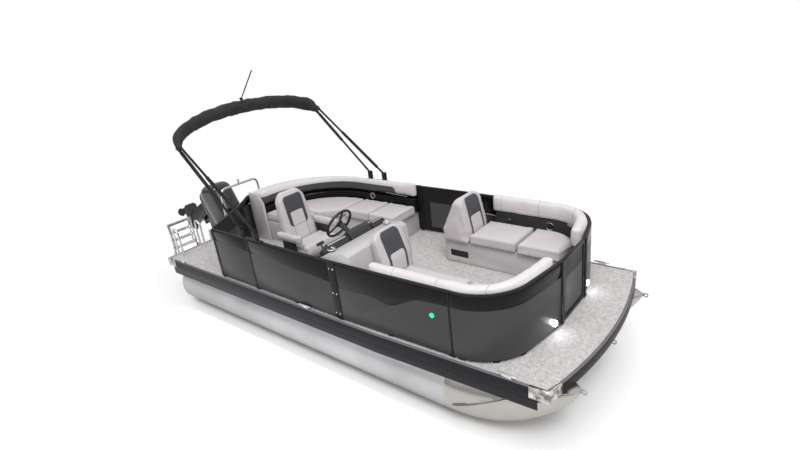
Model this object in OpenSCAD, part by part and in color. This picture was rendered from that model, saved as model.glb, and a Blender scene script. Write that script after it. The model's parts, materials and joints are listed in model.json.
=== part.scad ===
// Pontoon boat on three tubes, with its outboard motor tilted up for parking.
// Millimetres. +X is the bow, +Y is port, +Z is up.
// Every module below draws in boat coordinates, which start in the middle of the
// deck's stern edge at the deck's top face. place() moves them into the part's frame.

/* [Hull] */
// Beam over the rub rails
beam = 2590; // [2500:10:2700]
// Deck length on the centreline, stern edge to bow edge
deck_len = 6370; // [6000:10:7000]
// Thickness of the deck floor
floor_t = 32; // [25:1:45]
// How far each side moves in at the bow
bow_taper = 71; // [20:1:110]
// How far the bow edge bulges forward of its ends
bow_round = 136; // [60:2:200]
// Radius of the flotation tubes
tube_r = 317.5; // [290:2.5:325]
// Side of the boat to the centreline of a side tube
tube_inset = 365; // [345:5:400]
// Height of the keel bar under each tube
keel_h = 12; // [8:1:20]
// Height of the riser plates on top of the tubes
riser_h = 65; // [50:1:90]
// Height of the cross channels under the deck
channel_h = 76; // [60:1:100]
// Spacing of the cross channels
channel_pitch = 406; // [350:2:450]
// Length of the nose cones
nose_len = 1265; // [1100:5:1350]
// Bore of the tow eyes on the nose cones
eye_bore = 28; // [20:1:36]

/* [Rub rail] */
// Thickness of the rub rail
rail_t = 30; // [22:1:36]
// Height of the rub rail below the deck top
rail_h = 116; // [110:1:140]
// How far the rub rail's lip stands above the deck
rail_lip = 6; // [3:1:12]
// Height of the skirt below the rub rail
skirt_h = 133; // [90:1:150]

/* [Fence] */
// Height of the fence above the deck
fence_h = 720; // [650:5:780]
// Gap under the fence
fence_gap = 25; // [15:1:40]
// Side of the boat to the fence's centreline
fence_inset = 60; // [55:1:75]
// Thickness of the fence frame
frame_t = 32; // [25:1:38]
// Height of the fence's top and bottom rails
frame_h = 35; // [25:1:45]
// Thickness of the outer panels
panel_t = 6; // [4:1:8]
// Radius of the fence's bow corners
bow_corner_r = 530; // [450:5:560]
// Radius of the fence's port stern corner
stern_corner_r = 1250; // [1000:10:1250]
// Height of the band line at the stern
band_stern = 577; // [520:1:600]
// Height of the band line just aft of the double post
band_mid = 460; // [400:1:500]
// Height of the band line at the bow
band_bow = 566; // [520:1:600]
// Width of the bow gate opening
bow_gate_w = 564; // [500:2:640]
// Width of the side gate opening
side_gate_w = 850; // [700:5:900]

/* [Seating] */
// Height of the seat tops
seat_h = 450; // [400:5:480]
// Thickness of the seat cushions
cushion_t = 130; // [100:2:150]
// Height of the bolsters along the fence
bolster_top = 790; // [760:5:830]
// Thickness of the bolsters
bolster_t = 130; // [100:2:150]
// Depth of the port lounge from the fence to its seat edge
lounge_depth = 690; // [620:5:740]
// Width of the helm chair
chair_w = 560; // [500:5:600]
// Height of the helm chair's back above the deck
chair_back_h = 1170; // [1100:5:1220]

/* [Bimini top] */
// Slope of the folded frame from the level
bimini_slope = 41; // [36:1:46]
// Distance from the frame's foot to the crown of the folded top
bimini_reach = 1920; // [1700:10:1980]
// Diameter of the frame tubes
bimini_d = 32; // [25:1:38]
// Distance between the two frame tubes at their feet
bimini_pair = 190; // [170:5:240]

/* [Outboard] */
// Tilt of the parked motor from upright
motor_tilt = 62; // [55:1:66]
// Depth of the anti-ventilation plate below the tilt pivot
leg_h = 660; // [640:5:720]
// Diameter of the propeller
prop_d = 340; // [310:5:370]
// Height of the cowl
cowl_h = 600; // [520:5:640]

/* [Hidden] */
$fn = 48;
fit = 0.3;
hinge_fit = 0.05;
deck_h = keel_h + 2*tube_r + riser_h + channel_h + floor_t;
half_beam = beam/2;
tube_z = -(floor_t + channel_h + riser_h + tube_r);
tube_y = half_beam - tube_inset;
tube_rear = 60;
nose_x = deck_len - 1270;
channel_z = -(floor_t + channel_h);
bend_x = deck_len - 2070;
corner_x = deck_len - 162;
bow_chord = half_beam - bow_taper - 114;
bow_r = (bow_chord*bow_chord + bow_round*bow_round)/(2*bow_round);
fence_y = half_beam - fence_inset;
fence_nip = 45;
rail_bottom = fence_gap + frame_h;
rail_top = fence_h - frame_h;
stern_x = 1450;
slim_x = 2250;
double_x = deck_len - 2610;
double_w = 110;
seam_x = deck_len - 1120;
front_x = deck_len - 475;
corner_y = fence_y - fence_nip - bow_corner_r;
corner_cx = front_x - 610 + (530 - bow_corner_r);
bow_gate_y = 86;
side_gate_x = deck_len - 2390;
side_rear_x = side_gate_x - side_gate_w;
lounge_x = 690;
stern_arc = [lounge_x + stern_corner_r, fence_y - stern_corner_r];
aft_turn = [lounge_x, stern_arc[1] - 85];
aft_end = aft_turn + [240, -300];
gate_gap = 9;
motor_x = -620;
motor_z = 30;
motor_reach = 1150;
eye_x = nose_x + nose_len;
part_mid = (eye_x + 45 + motor_x - motor_reach)/2;
bimini_x = 2300;
bimini_z = fence_h + 120;
bimini_y = fence_y;
console_x = deck_len - 2770;
chair_x = console_x - 970;
wheel_y = 590 - fence_y;
chair_y = wheel_y + 85;
ladder_x = -60;
ladder_y = 355 - half_beam;
ladder_w = 380;
bimini_half = bimini_pair/2/sin(bimini_slope);

// ---- helpers ----

module place() {
  translate([-part_mid, 0, deck_h]) children();
}

// Points of an arc in the plane
function arc(cx, cy, r, a0, a1, n) =
  [for (i = [0:n]) let (a = a0 + (a1 - a0)*i/n) [cx + r*cos(a), cy + r*sin(a)]];

function unit(v) = v/norm(v);
function left(v) = [-v[1], v[0]];

// Mitred normal of a path at one of its points, to the left of its heading
function miter(p, i) =
  let (a = unit(i == 0 ? p[1] - p[0] : p[i] - p[i - 1]),
       b = unit(i == len(p) - 1 ? p[i] - p[i - 1] : p[i + 1] - p[i]),
       n = unit(left(a) + left(b)))
  n/(n*left(b));

function shift(p, d) = [for (i = [0:len(p) - 1]) p[i] + d*miter(p, i)];
function reversed(p) = [for (i = [len(p) - 1:-1:0]) p[i]];
function flipped(p) = reversed([for (q = p) [q[0], -q[1]]]);

// Wall that follows a path, between two offsets to its left
module wall(path, d0, d1, z0, z1) {
  translate([0, 0, z0]) linear_extrude(z1 - z0)
    polygon(concat(shift(path, d0), reversed(shift(path, d1))));
}

// Flat plate drawn by an outline in the XZ plane, centred on a Y position
module plate_xz(points, y, t) {
  translate([0, y + t/2, 0]) rotate([90, 0, 0]) linear_extrude(t) polygon(points);
}

module box(x0, x1, y0, y1, z0, z1) {
  translate([x0, y0, z0]) cube([x1 - x0, y1 - y0, z1 - z0]);
}

module bar_y(x, z, y0, y1, r) {
  translate([x, y1, z]) rotate([90, 0, 0]) cylinder(h = y1 - y0, r = r);
}

module bar_x(x0, x1, y, z, r) {
  translate([x0, y, z]) rotate([0, 90, 0]) cylinder(h = x1 - x0, r = r);
}

module both_sides() {
  children();
  mirror([0, 1, 0]) children();
}

// Round or flat-oval tube along a path in space: w is its half width along the
// fixed direction side, t its half thickness, ends its size at its ends against that
module sweep(path, side, w, t, m, ends = 1) {
  n = len(path);
  function full(i) = ends + (1 - ends)*sin(90*min(1, min(i, n - 1 - i)/4));
  function dir(i) = unit(path[min(i + 1, n - 1)] - path[max(i - 1, 0)]);
  pts = [for (i = [0:n - 1], j = [0:m - 1])
    let (a = 360*j/m, s = unit(side - (side*dir(i))*dir(i)), u = cross(dir(i), s))
    path[i] + full(i)*(w*cos(a)*s + t*sin(a)*u)];
  faces = concat(
    [for (i = [0:n - 2], j = [0:m - 1])
      [i*m + j, i*m + (j + 1) % m, (i + 1)*m + (j + 1) % m, (i + 1)*m + j]],
    [[for (j = [m - 1:-1:0]) j]],
    [[for (j = [0:m - 1]) (n - 1)*m + j]]);
  polyhedron(pts, [for (f = faces) reversed(f)], convexity = 4);
}

// ---- hull ----

// Deck outline, moved in by off on every side
function outline(off) =
  let (h = half_beam - off, a = asin(bow_chord/bow_r))
  concat([[off, -h], [bend_x, -h], [corner_x - off, -(h - bow_taper)]],
         arc(deck_len - bow_r, 0, bow_r - off, -a, a, 16),
         [[corner_x - off, h - bow_taper], [bend_x, h], [off, h]]);

// Half width of the deck outline at a distance from the stern
function half_at(x) =
  half_beam - (x > bend_x ? bow_taper*(x - bend_x)/(corner_x - bend_x) : 0);

module ring(off0, off1, z0, z1) {
  translate([0, 0, z0]) linear_extrude(z1 - z0) difference() {
    polygon(outline(off0));
    polygon(outline(off1));
  }
}

riser_y = 60;
riser_t = 6;

module tube(y, x0, len_shift) {
  color("silver") place() translate([0, y, 0]) {
    difference() {
      union() {
        bar_x(x0, nose_x + len_shift, 0, tube_z, tube_r);
        for (s = [-1, 1])
          box(x0 + 40, nose_x + len_shift - 40, s*riser_y - riser_t/2,
              s*riser_y + riser_t/2, tube_z + tube_r - 25, channel_z);
        box(x0 + 200, nose_x + len_shift - 150, -22, 22, tube_z - tube_r - keel_h,
            tube_z - tube_r + 10);
      }
      translate([x0, 0, tube_z]) rotate([0, 90, 0])
        rotate_extrude() polygon([[tube_r - 60, -1], [tube_r + 5, -1], [tube_r + 5, 60],
                                  [tube_r, 60]]);
    }
  }
}

module tube_port() tube(tube_y, tube_rear, 0);
module tube_starboard() tube(-tube_y, tube_rear, 0);
module tube_centre() tube(0, pod_front, centre_back);

// The middle tube's nose ends a little short of the side ones, and lower
centre_back = -45;
centre_drop = 66;
nose_rise = tube_r + 57.5;
nose_tip_r = 26;

function nose_r(t) =
  tube_r*pow(1 - pow(t, 2.3), 0.62)*(1 - 0.10*t) + nose_tip_r*t;
function nose_z(t, rise) = tube_z + rise*pow(t, 2.1);

// Nose cone: rings whose middle rises while they shrink towards the tip
module nose(y, x0, rise) {
  rings = 14;
  m = 40;
  pts = [for (i = [0:rings], j = [0:m - 1]) let (t = i/rings)
    [x0 + nose_len*t, y + nose_r(t)*cos(360*j/m),
     nose_z(t, rise) + nose_r(t)*sin(360*j/m)]];
  faces = concat(
    [for (i = [0:rings - 1], j = [0:m - 1])
      [i*m + j, i*m + (j + 1) % m, (i + 1)*m + (j + 1) % m, (i + 1)*m + j]],
    [[for (j = [m - 1:-1:0]) j]],
    [[for (j = [0:m - 1]) rings*m + j]]);
  polyhedron(pts, faces, convexity = 4);
}

// Spray fin that climbs the outboard side of a nose cone
module spray_fin() {
  path = [for (i = [0:10]) let (t = 0.08 + 0.064*i, a = -12 + 5.2*i, r = nose_r(t) + 6)
    [nose_x + nose_len*t, tube_y + r*cos(a), nose_z(t, nose_rise) + r*sin(a)]];
  sweep(path, [0, 1, 0.35], 24, 5, 8);
}

// Room that the noses leave for the rub rail round the bow
module rail_room() {
  translate([0, 0, -rail_h - fit]) linear_extrude(rail_h) difference() {
    translate([corner_x - 300, -beam]) square([1000, 2*beam]);
    polygon(outline(rail_t + 1));
  }
}

module nose_cones() {
  color("rosybrown") place() difference() {
    union() {
      both_sides() {
        nose(tube_y, nose_x, nose_rise);
        spray_fin();
      }
      nose(0, nose_x + centre_back, nose_rise - centre_drop);
    }
    rail_room();
  }
}

// Eye plate standing on the end of a nose cone
module eye(x, y, z) {
  t = 14;
  r = 27;
  translate([x, y, z]) difference() {
    union() {
      translate([32, t/2, 0]) rotate([90, 0, 0]) cylinder(h = t, r = r);
      box(0, 32, -t/2, t/2, -r + 8, r - 8);
    }
    translate([32, t, 0]) rotate([90, 0, 0]) cylinder(h = 2*t, d = eye_bore);
  }
}

eye_z = tube_z + nose_rise;

module tow_eyes() {
  color("silver") place() {
    for (s = [-1, 1]) eye(eye_x, s*tube_y, eye_z);
    eye(eye_x + centre_back, 0, eye_z - centre_drop);
  }
}

pod_front = 560;
pod_w = 520;
pod_rear = motor_x + 80;
transom_z = motor_z - 55;

module motor_pod() {
  bottom = tube_z - tube_r + 60;
  color("darkgray") place() {
    plate_xz([[pod_front, channel_z], [60, channel_z], [-120, channel_z - 60],
              [pod_rear + 60, channel_z - 60], [pod_rear + 60, transom_z],
              [pod_rear, transom_z], [pod_rear, bottom + 120], [-60, bottom],
              [pod_front, tube_z - tube_r + 4]], 0, pod_w);
  }
}

channel_w = 50;
channel_count = floor((deck_len - 420)/channel_pitch);

module cross_members() {
  color("gray") place() for (i = [0:channel_count]) {
    x = 110 + i*channel_pitch;
    h = half_at(x + channel_w) - rail_t - 8;
    box(x, x + channel_w, -h, h, channel_z, -floor_t);
  }
}

module deck() {
  color("lightgray") place()
    translate([0, 0, -floor_t]) linear_extrude(floor_t) polygon(outline(rail_t));
}

cap_x = 190;
cap_y = 190;

module bow_corner_zone() {
  box(corner_x - cap_x, deck_len + 50, -half_beam - 20, -bow_chord + 60, -300, 100);
}

module stern_corner_zone() {
  box(-20, cap_x, -half_beam - 20, -half_beam + cap_y, -300, 100);
}

module rub_rail() {
  color("dimgray") place() difference() {
    ring(0, rail_t, -rail_h, rail_lip);
    both_sides() bow_corner_zone();
    both_sides() stern_corner_zone();
  }
}

module corner_caps() {
  color("gainsboro") place() both_sides() {
    intersection() {
      ring(-4, rail_t, -rail_h, rail_lip + 3);
      bow_corner_zone();
    }
    intersection() {
      ring(-4, rail_t, -rail_h, rail_lip + 3);
      stern_corner_zone();
    }
  }
}

skirt_t = 5;
skirt_in = 22;

module skirt() {
  color("dimgray") place() difference() {
    ring(skirt_in, skirt_in + skirt_t, -rail_h - skirt_h, -rail_h);
    box(-50, 60, -half_beam, half_beam, -600, 0);
    box(corner_x - 120, deck_len + 50, -half_beam, half_beam, -600, 0);
  }
}

cleat_x = [420, deck_len - 3170, deck_len - 560];

module cleats() {
  color("gainsboro") place() both_sides() for (x = cleat_x) {
    y = half_at(x) - rail_t/2;
    box(x - 50, x + 50, y - 8, y + 8, rail_lip, rail_lip + 30);
    bar_x(x - 95, x + 95, y, rail_lip + 33, 10);
  }
}

// ---- fence ----

function side_y(x) =
  fence_y - (x > double_x ? fence_nip*(x - double_x)/(seam_x - double_x) : 0);

// Starboard fence line between two distances from the stern, heading forward
function side_run(x0, x1) =
  concat([[x0, -side_y(x0)]],
         x0 < double_x && x1 > double_x ? [[double_x, -fence_y]] : [],
         [[x1, -side_y(x1)]]);

// Starboard bow fence line from the seam round the corner to y1
function bow_run(y1) =
  concat([[seam_x + 3*fit, -side_y(seam_x)]],
         arc(corner_cx, -corner_y, bow_corner_r, -90, -10, 10),
         [[front_x, y1]]);

// Point of the fence's front line at a distance past the middle line, for a gate
// post at gate_y on the same side
arc_end = [corner_cx + bow_corner_r*cos(10), -corner_y - bow_corner_r*sin(10)];
function front_dir(gate_y) = unit([front_x, -gate_y] - arc_end);
function front_point(y, gate_y) =
  arc_end + front_dir(gate_y)*((-y - arc_end[1])/front_dir(gate_y)[1]);

module frame_rails(path) {
  wall(path, -frame_t/2, frame_t/2, fence_gap, rail_bottom);
  wall(path, -frame_t/2, frame_t/2, rail_top, fence_h);
}

module post(x, w) {
  y = side_y(x);
  box(x - w/2, x + w/2, -y - frame_t/2 - panel_t - 2, -y + frame_t/2,
      fence_gap, fence_h);
}

post_w = 40;

module feet(x_list) {
  for (x = x_list) {
    y = side_y(x);
    box(x - 30, x + 30, -y - frame_t/2 + 3, -y + frame_t/2 - 3, 0, fence_gap);
  }
}

side_feet = [stern_x + 30, slim_x, 3000, double_x, deck_len - 1900, seam_x - 30];

module fence_starboard() {
  color("darkslategray") place() {
    frame_rails(side_run(stern_x, seam_x));
    post(stern_x + 25, 50);
    post(slim_x, post_w);
    post(double_x, double_w);
    post(seam_x - 10, 20);
    feet(side_feet);
  }
}

port_front_x = side_gate_x;
port_rear_x = side_rear_x;
arc_post_x = stern_arc[0] + 26;

// Line round the port stern corner, from the stern to the port side
function stern_corner(r) = reversed(arc(stern_arc[0], stern_arc[1], r, 90, 180, 14));

// Port fence aft of the side gate, round the stern corner
module fence_port() {
  color("darkslategray") place() {
    frame_rails(reversed(concat(stern_corner(stern_corner_r), [[port_rear_x, fence_y]])));
    translate([stern_arc[0], stern_arc[1], 0]) {
      for (a = [100, 117, 153, 170]) rotate([0, 0, a])
        box(stern_corner_r - 12, stern_corner_r + 12, -30, 30, 0, fence_gap);
      rotate([0, 0, 135]) box(stern_corner_r - frame_t/2, stern_corner_r + frame_t/2 - 2,
                              -15, 15, fence_gap, rail_top + 10);
    }
    mirror([0, 1, 0]) {
      post(port_rear_x - 25, 50);
      post(slim_x, post_w);
      post(arc_post_x, post_w);
      feet([slim_x, port_rear_x - 30]);
    }
  }
}

gate_star_y = bow_gate_y - bow_gate_w/2;
gate_port_y = bow_gate_y + bow_gate_w/2;

module bow_half(gate_y) {
  path = bow_run(-gate_y);
  frame_rails(path);
  // post beside the gate
  box(front_x - frame_t/2, front_x + frame_t/2 + panel_t + 2, -gate_y - 45, -gate_y,
      fence_gap, fence_h);
  // post in the middle of the corner
  translate([corner_cx, -corner_y, 0]) rotate([0, 0, -50])
    box(bow_corner_r - frame_t/2, bow_corner_r + frame_t/2 - 2, -15, 15,
        fence_gap, rail_top + 10);
  translate([corner_cx, -corner_y, 0]) for (a = [-85, -50, -20]) rotate([0, 0, a])
    box(bow_corner_r - frame_t/2 + 5, bow_corner_r + frame_t/2 - 5, -30, 30, 0,
        fence_gap);
}

module fence_bow() {
  color("darkslategray") place() {
    bow_half(-gate_star_y);
    knuckles(bow_gate_pin, 90, -24);
    knuckles(side_gate_pin, 180, -26);
    mirror([0, 1, 0]) {
      bow_half(gate_port_y);
      frame_rails(side_run(port_front_x, seam_x));
      post(port_front_x + 25, 50);
      post(seam_x - 10, 20);
      feet([port_front_x + 30, deck_len - 1900, seam_x - 30]);
    }
  }
}

function stern_run(p0) = [p0, aft_turn, aft_end];

module fence_stern() {
  start = [lounge_x, stern_arc[1] - frame_t/24];
  color("darkslategray") place() {
    frame_rails(stern_run(start));
    wall([start, start - [0, 40]], -frame_t/2, frame_t/2, rail_bottom, rail_top);
    wall([aft_end + 50*unit(aft_turn - aft_end), aft_end], -frame_t/2, frame_t/2,
         rail_bottom, rail_top);
    knuckles(stern_gate_pin, stern_angle, -48);
    box(lounge_x - 12, lounge_x + 12, start[1] - 60, start[1] - 10, 0, fence_gap);
    translate([aft_end[0] - 30, aft_end[1] + 30, 0]) cylinder(h = fence_gap, r = 12);
  }
}

// Height of the line between the lower panels and the upper band
s_low = 392;
s_x = deck_len - 1870;
function smooth(t) = t < 0 ? 0 : t > 1 ? 1 : t*t*(3 - 2*t);
function band_z(x) =
  x < double_x ? band_stern + (band_mid - band_stern)*(x - stern_x)/(double_x - stern_x)
  : x < s_x ? 432 + (s_low - 432)*smooth((x - s_x + 180)/180)
  : s_low + (band_bow - 14 - s_low)*smooth((x - s_x)/430)
    + 14*smooth((x - s_x - 430)/300);

panel_in = frame_t/2 + fit;
band_gap = 4;
panel_z0 = fence_gap + 6;
panel_z1 = fence_h - 22;

// Flat side panel between two posts, below or above the band line
module side_panel(x0, x1, upper) {
  steps = x1 > s_x && x0 < s_x ? 24 : 1;
  line = [for (i = [0:steps]) let (x = x0 + (x1 - x0)*i/steps)
    [x - x0, band_z(x) + (upper ? band_gap/2 : -band_gap/2)]];
  far = [[x1 - x0, upper ? panel_z1 : panel_z0], [0, upper ? panel_z1 : panel_z0]];
  slope = atan2(side_y(x0) - side_y(x1), x1 - x0);
  translate([x0, -side_y(x0), 0]) rotate([0, 0, slope])
    translate([0, -panel_in, 0]) rotate([90, 0, 0]) linear_extrude(panel_t)
      polygon(concat(line, far));
}

p_fit = 2;
side_panels = [[stern_x + 50 + p_fit, slim_x - post_w/2 - p_fit],
               [slim_x + post_w/2 + p_fit, double_x - double_w/2 - p_fit],
               [double_x + double_w/2 + p_fit, seam_x - 20 - p_fit]];
port_panels = [[arc_post_x + post_w/2 + p_fit, slim_x - post_w/2 - p_fit],
               [slim_x + post_w/2 + p_fit, port_rear_x - 50 - p_fit],
               [port_front_x + 50 + p_fit, seam_x - 20 - p_fit]];

module curved_panels(upper) {
  z0 = upper ? band_bow + band_gap/2 : panel_z0;
  z1 = upper ? panel_z1 : band_bow - band_gap/2;
  for (g = [[1, -gate_star_y], [-1, gate_port_y]])
    scale([1, g[0], 1])
      wall(concat([[seam_x + p_fit, -side_y(seam_x)]],
                  arc(corner_cx, -corner_y, bow_corner_r, -90, -10, 10),
                  [front_point(g[1] + 54, g[1])]),
           -panel_in - panel_t, -panel_in, z0, z1);
}

module stern_panels(upper) {
  z0 = upper ? band_stern + band_gap/2 : panel_z0;
  z1 = upper ? panel_z1 : band_stern - band_gap/2;
  wall(concat(reversed(stern_corner(stern_corner_r)), [aft_turn, aft_end]),
       -panel_in - panel_t, -panel_in, z0, z1);
}

module panels(upper) {
  place() {
    for (p = side_panels) side_panel(p[0], p[1], upper);
    mirror([0, 1, 0]) for (p = port_panels) side_panel(p[0], p[1], upper);
    curved_panels(upper);
    stern_panels(upper);
  }
}

module panels_lower() color("dimgray") panels(false);
module panels_upper() color("black") panels(true);

// Gate leaf in its own frame: hinge edge at the origin, leaf along +X, faces in Y
module leaf(w) {
  rail = 32;
  difference() {
    box(0, w, -frame_t/2, frame_t/2, fence_gap + 4, fence_h);
    for (s = [-1, 1])
      box(rail, w - rail, min(s*5, s*frame_t), max(s*5, s*frame_t),
          fence_gap + 4 + rail, fence_h - rail);
  }
}

hinge_z = [140, 560];
barrel_h = 60;
knuckle_h = 28;

// Hinge barrel beside a leaf's edge
module barrels(x, y) {
  for (z = hinge_z) translate([x, y, z]) cylinder(h = barrel_h, r = 4);
}

// Knuckles that the barrels stand in, below and above them, each with a tab that
// reaches back by x0 along the leaf's heading to the post
module knuckles(pin, heading, x0) {
  for (z = hinge_z, up = [-knuckle_h - fit, barrel_h + fit])
    translate([pin[0], pin[1], z + up]) rotate([0, 0, heading]) {
      cylinder(h = knuckle_h, r = 4);
      box(x0, 0, -10, 2, 0, knuckle_h);
    }
}

bow_gate_pin = [front_x - frame_t/2 - 6, gate_star_y + gate_gap/2];

module bow_gate() {
  color("darkslategray") place() {
    translate([front_x, gate_star_y + gate_gap, 0]) rotate([0, 0, 90])
      leaf(bow_gate_w - 2*gate_gap);
    barrels(bow_gate_pin[0], bow_gate_pin[1]);
    for (z = [140, 560])
      box(front_x - frame_t/2 - 8, front_x - frame_t/2, gate_star_y + gate_gap/2,
          gate_star_y + gate_gap + 30, z + 2, z + 58);
  }
}

gate_y = (side_y(port_front_x) + fence_y)/2;
side_gate_pin = [port_front_x - gate_gap/2, gate_y - frame_t/2 - 6];

module side_gate() {
  w = port_front_x - port_rear_x - 2*gate_gap;
  color("darkslategray") place() {
    translate([port_front_x - gate_gap, gate_y, 0]) rotate([0, 0, 180]) leaf(w);
    barrels(side_gate_pin[0], side_gate_pin[1]);
    for (z = [140, 560])
      box(port_front_x - gate_gap - 30, port_front_x - gate_gap/2,
          gate_y - frame_t/2 - 8, gate_y - frame_t/2, z + 2, z + 58);
  }
}

// The stern gate closes the slanted passage beside the lounge
stern_latch = [stern_x - 22, -fence_y + 46];
stern_dir = unit(stern_latch - aft_end);
stern_w = norm(stern_latch - aft_end);
stern_angle = atan2(stern_dir[1], stern_dir[0]);
stern_in = left(stern_dir);
stern_gate_pin = aft_end + 24*stern_dir + (frame_t/2 + 6)*stern_in;

module stern_gate() {
  start = aft_end + 28*stern_dir;
  color("darkslategray") place() {
    translate([start[0], start[1], 0]) rotate([0, 0, stern_angle])
      leaf(stern_w - 28 - 12);
    barrels(stern_gate_pin[0], stern_gate_pin[1]);
    translate([start[0], start[1], 0]) rotate([0, 0, stern_angle])
      for (z = [140, 560]) box(-4, 30, frame_t/2, frame_t/2 + 8, z + 2, z + 58);
  }
}

nav_x = deck_len - 1325;

nav_turn = atan2(fence_nip, seam_x - double_x);

// Docking light on the front panels, for the half whose gate post is at gate_y
module docking_light(gate_y) {
  d = front_dir(gate_y);
  p = front_point(gate_y + 170, gate_y) - (panel_in + panel_t + fit)*left(d);
  translate([p[0], p[1], 105]) rotate([0, 0, atan2(d[1], d[0])]) rotate([90, 0, 0])
    cylinder(h = 14, r = 30);
}

module lights() {
  off = (panel_in + panel_t + fit)*[sin(nav_turn), -cos(nav_turn)];
  color("white") place() {
    both_sides() translate([nav_x + off[0], -side_y(nav_x) + off[1], 422])
      rotate([90, 0, nav_turn]) cylinder(h = 12, r = 26);
    docking_light(-gate_star_y);
    mirror([0, 1, 0]) docking_light(gate_port_y);
  }
}

// ---- helm ----

console_y0 = -side_y(console_x + 440) + frame_t/2 + fit;
console_y1 = wheel_y + 440;

dash_run = 160;
dash_rise = 90;
dash_turn = atan2(dash_rise, dash_run);
dash_l = norm([dash_run, dash_rise]);

module console() {
  color("gainsboro") place() {
    difference() {
      plate_xz([[console_x - 30, 0], [console_x + 420, 0], [console_x + 440, 480],
                [console_x + 400, 800], [console_x + 340, 830],
                [console_x - 60 + dash_run, 700 + dash_rise], [console_x - 60, 700],
                [console_x - 60, 560]],
               (console_y0 + console_y1)/2, console_y1 - console_y0);
      // knee space under the dash, and the storage door's recess on its inner side
      box(console_x - 100, console_x + 150, -900, -390, 60, 520);
      box(console_x + 60, console_x + 330, console_y1 - 12, console_y1 + 10, 90, 560);
    }
  }
}

// Instrument pod standing on the console's sloping top
module pod(y, w, points) {
  translate([console_x - 60, y, 700]) rotate([0, -dash_turn, 0])
    translate([0, 0, fit]) plate_xz(points, 0, w);
}

wheel_tilt = 62;
wheel_r = 185;
column_l = 240;
column_foot = [console_x - 40, wheel_y, 745];

module dash() {
  color("black") place() {
    pod(wheel_y - 365, 330, [[4, 0], [dash_l - 6, 0], [dash_l - 6, 50], [dash_l - 40, 92],
                     [6, 56]]);
    pod(wheel_y, 340, [[4, 0], [dash_l - 4, 0], [dash_l - 4, 80], [dash_l - 34, 122],
                       [6, 84]]);
    pod(wheel_y + 315, 220, [[10, 0], [dash_l - 8, 0], [dash_l - 8, 46], [dash_l - 36, 80],
                    [12, 44]]);
    translate(column_foot) rotate([0, -wheel_tilt, 0]) cylinder(h = column_l, r = 30);
  }
}

module steering_wheel() {
  color("black") place()
    translate(column_foot) rotate([0, -wheel_tilt, 0])
      translate([0, 0, column_l + fit]) {
        rotate_extrude() translate([wheel_r, 22]) circle(r = 15);
        cylinder(h = 24, r = 42);
        for (a = [0, 120, 240]) rotate([0, 0, a])
          box(0, wheel_r - 4, -14, 14, 12, 24);
      }
}

module throttle() {
  color("black") place() {
    box(console_x - 160, console_x - 60 - fit, wheel_y - 520, wheel_y - 430, 562, 690);
    translate([console_x - 110, wheel_y - 430, 640]) rotate([-90, 0, 0])
      cylinder(h = 34, r = 26);
    translate([console_x - 110, wheel_y - 407, 640]) rotate([0, -25, 0]) {
      translate([0, 0, 10]) cylinder(h = 160, r = 9);
      translate([0, 40, 170]) rotate([90, 0, 0]) cylinder(h = 90, r = 18);
    }
  }
}

module chair_pedestal() {
  color("gainsboro") place() translate([chair_x, chair_y, 0]) {
    cylinder(h = 14, r = 170);
    translate([0, 0, 14]) cylinder(h = 30, r1 = 90, r2 = 55);
    translate([0, 0, 44]) cylinder(h = 270, r = 38);
  }
}

seat_z = 490;
arm_z = 660;

module chair_frame() {
  color("dimgray") place() translate([chair_x, chair_y, 0]) {
    translate([0, 0, 314 + fit]) cylinder(h = 30, r = 75);
    box(-190, 190, -170, 170, 344 + fit, 364 + fit);
    for (s = [-1, 1]) {
      box(-200, 60, s*(chair_w/2 + 8) - 8, s*(chair_w/2 + 8) + 8, 330, arm_z - 20);
      box(-60, 60, min(s*160, s*(chair_w/2 + 8)), max(s*160, s*(chair_w/2 + 8)), 344.3,
          360);
      box(-230, 200, s*(chair_w/2 + 35) - 35, s*(chair_w/2 + 35) + 35, arm_z - 20,
          arm_z + 25);
    }
  }
}

module chair_cushions() {
  w = chair_w - 4;
  base = 364 + 2*fit;
  color("gainsboro") place() translate([chair_x, chair_y, 0]) {
    plate_xz([[-170, base], [240, base], [265, base + 60], [255, seat_z + 20],
              [200, seat_z + 40], [-120, seat_z + 20]], 0, w);
    plate_xz([[-120, seat_z + 24], [-180, base], [-260, base + 20],
              [-340, chair_back_h - 60], [-325, chair_back_h], [-250, chair_back_h],
              [-225, chair_back_h - 50]], 0, w);
  }
}

// ---- seating ----

lounge_front_x = port_rear_x - 8;
wall_in = frame_t/2 + fit;
aft_seat_y = -60;
aft_seat_x = 1800;
toe = 60;
seat_base_z = seat_h - cushion_t;
port_seat_y = fence_y - lounge_depth;

back_x = lounge_x + 310;
back_y = fence_y - wall_in - bolster_t + 10;
back_r = 1000;
cushion_gap = 4;

// Inner edge of the lounge's back in plan, from the stern end to the gate end;
// off moves it into the cockpit
function back_edge(off) =
  concat([[back_x + off, aft_seat_y]],
         reversed(arc(back_x + back_r, back_y - back_r, back_r - off, 90, 180, 12)),
         [[lounge_front_x, back_y - off]]);

// Outer side of the lounge in plan, along the fences, from the gate end to the
// stern; off moves it in from the port fence
function back_outer(x1, off = 0) =
  concat([[x1, fence_y - wall_in - off]],
         reversed(stern_corner(stern_corner_r - wall_in - off)),
         [[lounge_x + wall_in + off, aft_seat_y]]);

module lounge_base() {
  color("gainsboro") place() {
    linear_extrude(seat_base_z - fit) polygon(concat(
      back_outer(lounge_front_x - toe),
      [[aft_seat_x - toe, aft_seat_y], [aft_seat_x - toe, 300],
       [aft_seat_x + 300, port_seat_y + toe], [lounge_front_x - toe, port_seat_y + toe]]));
    // upright end of the stern back
    plate_xz([[lounge_x + 32, 0], [lounge_x + 370, 0], [lounge_x + 350, 620],
              [lounge_x + 260, bolster_top - 20], [lounge_x + 32, bolster_top - 20]],
             aft_seat_y - 23 - fit, 46);
  }
}

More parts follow.
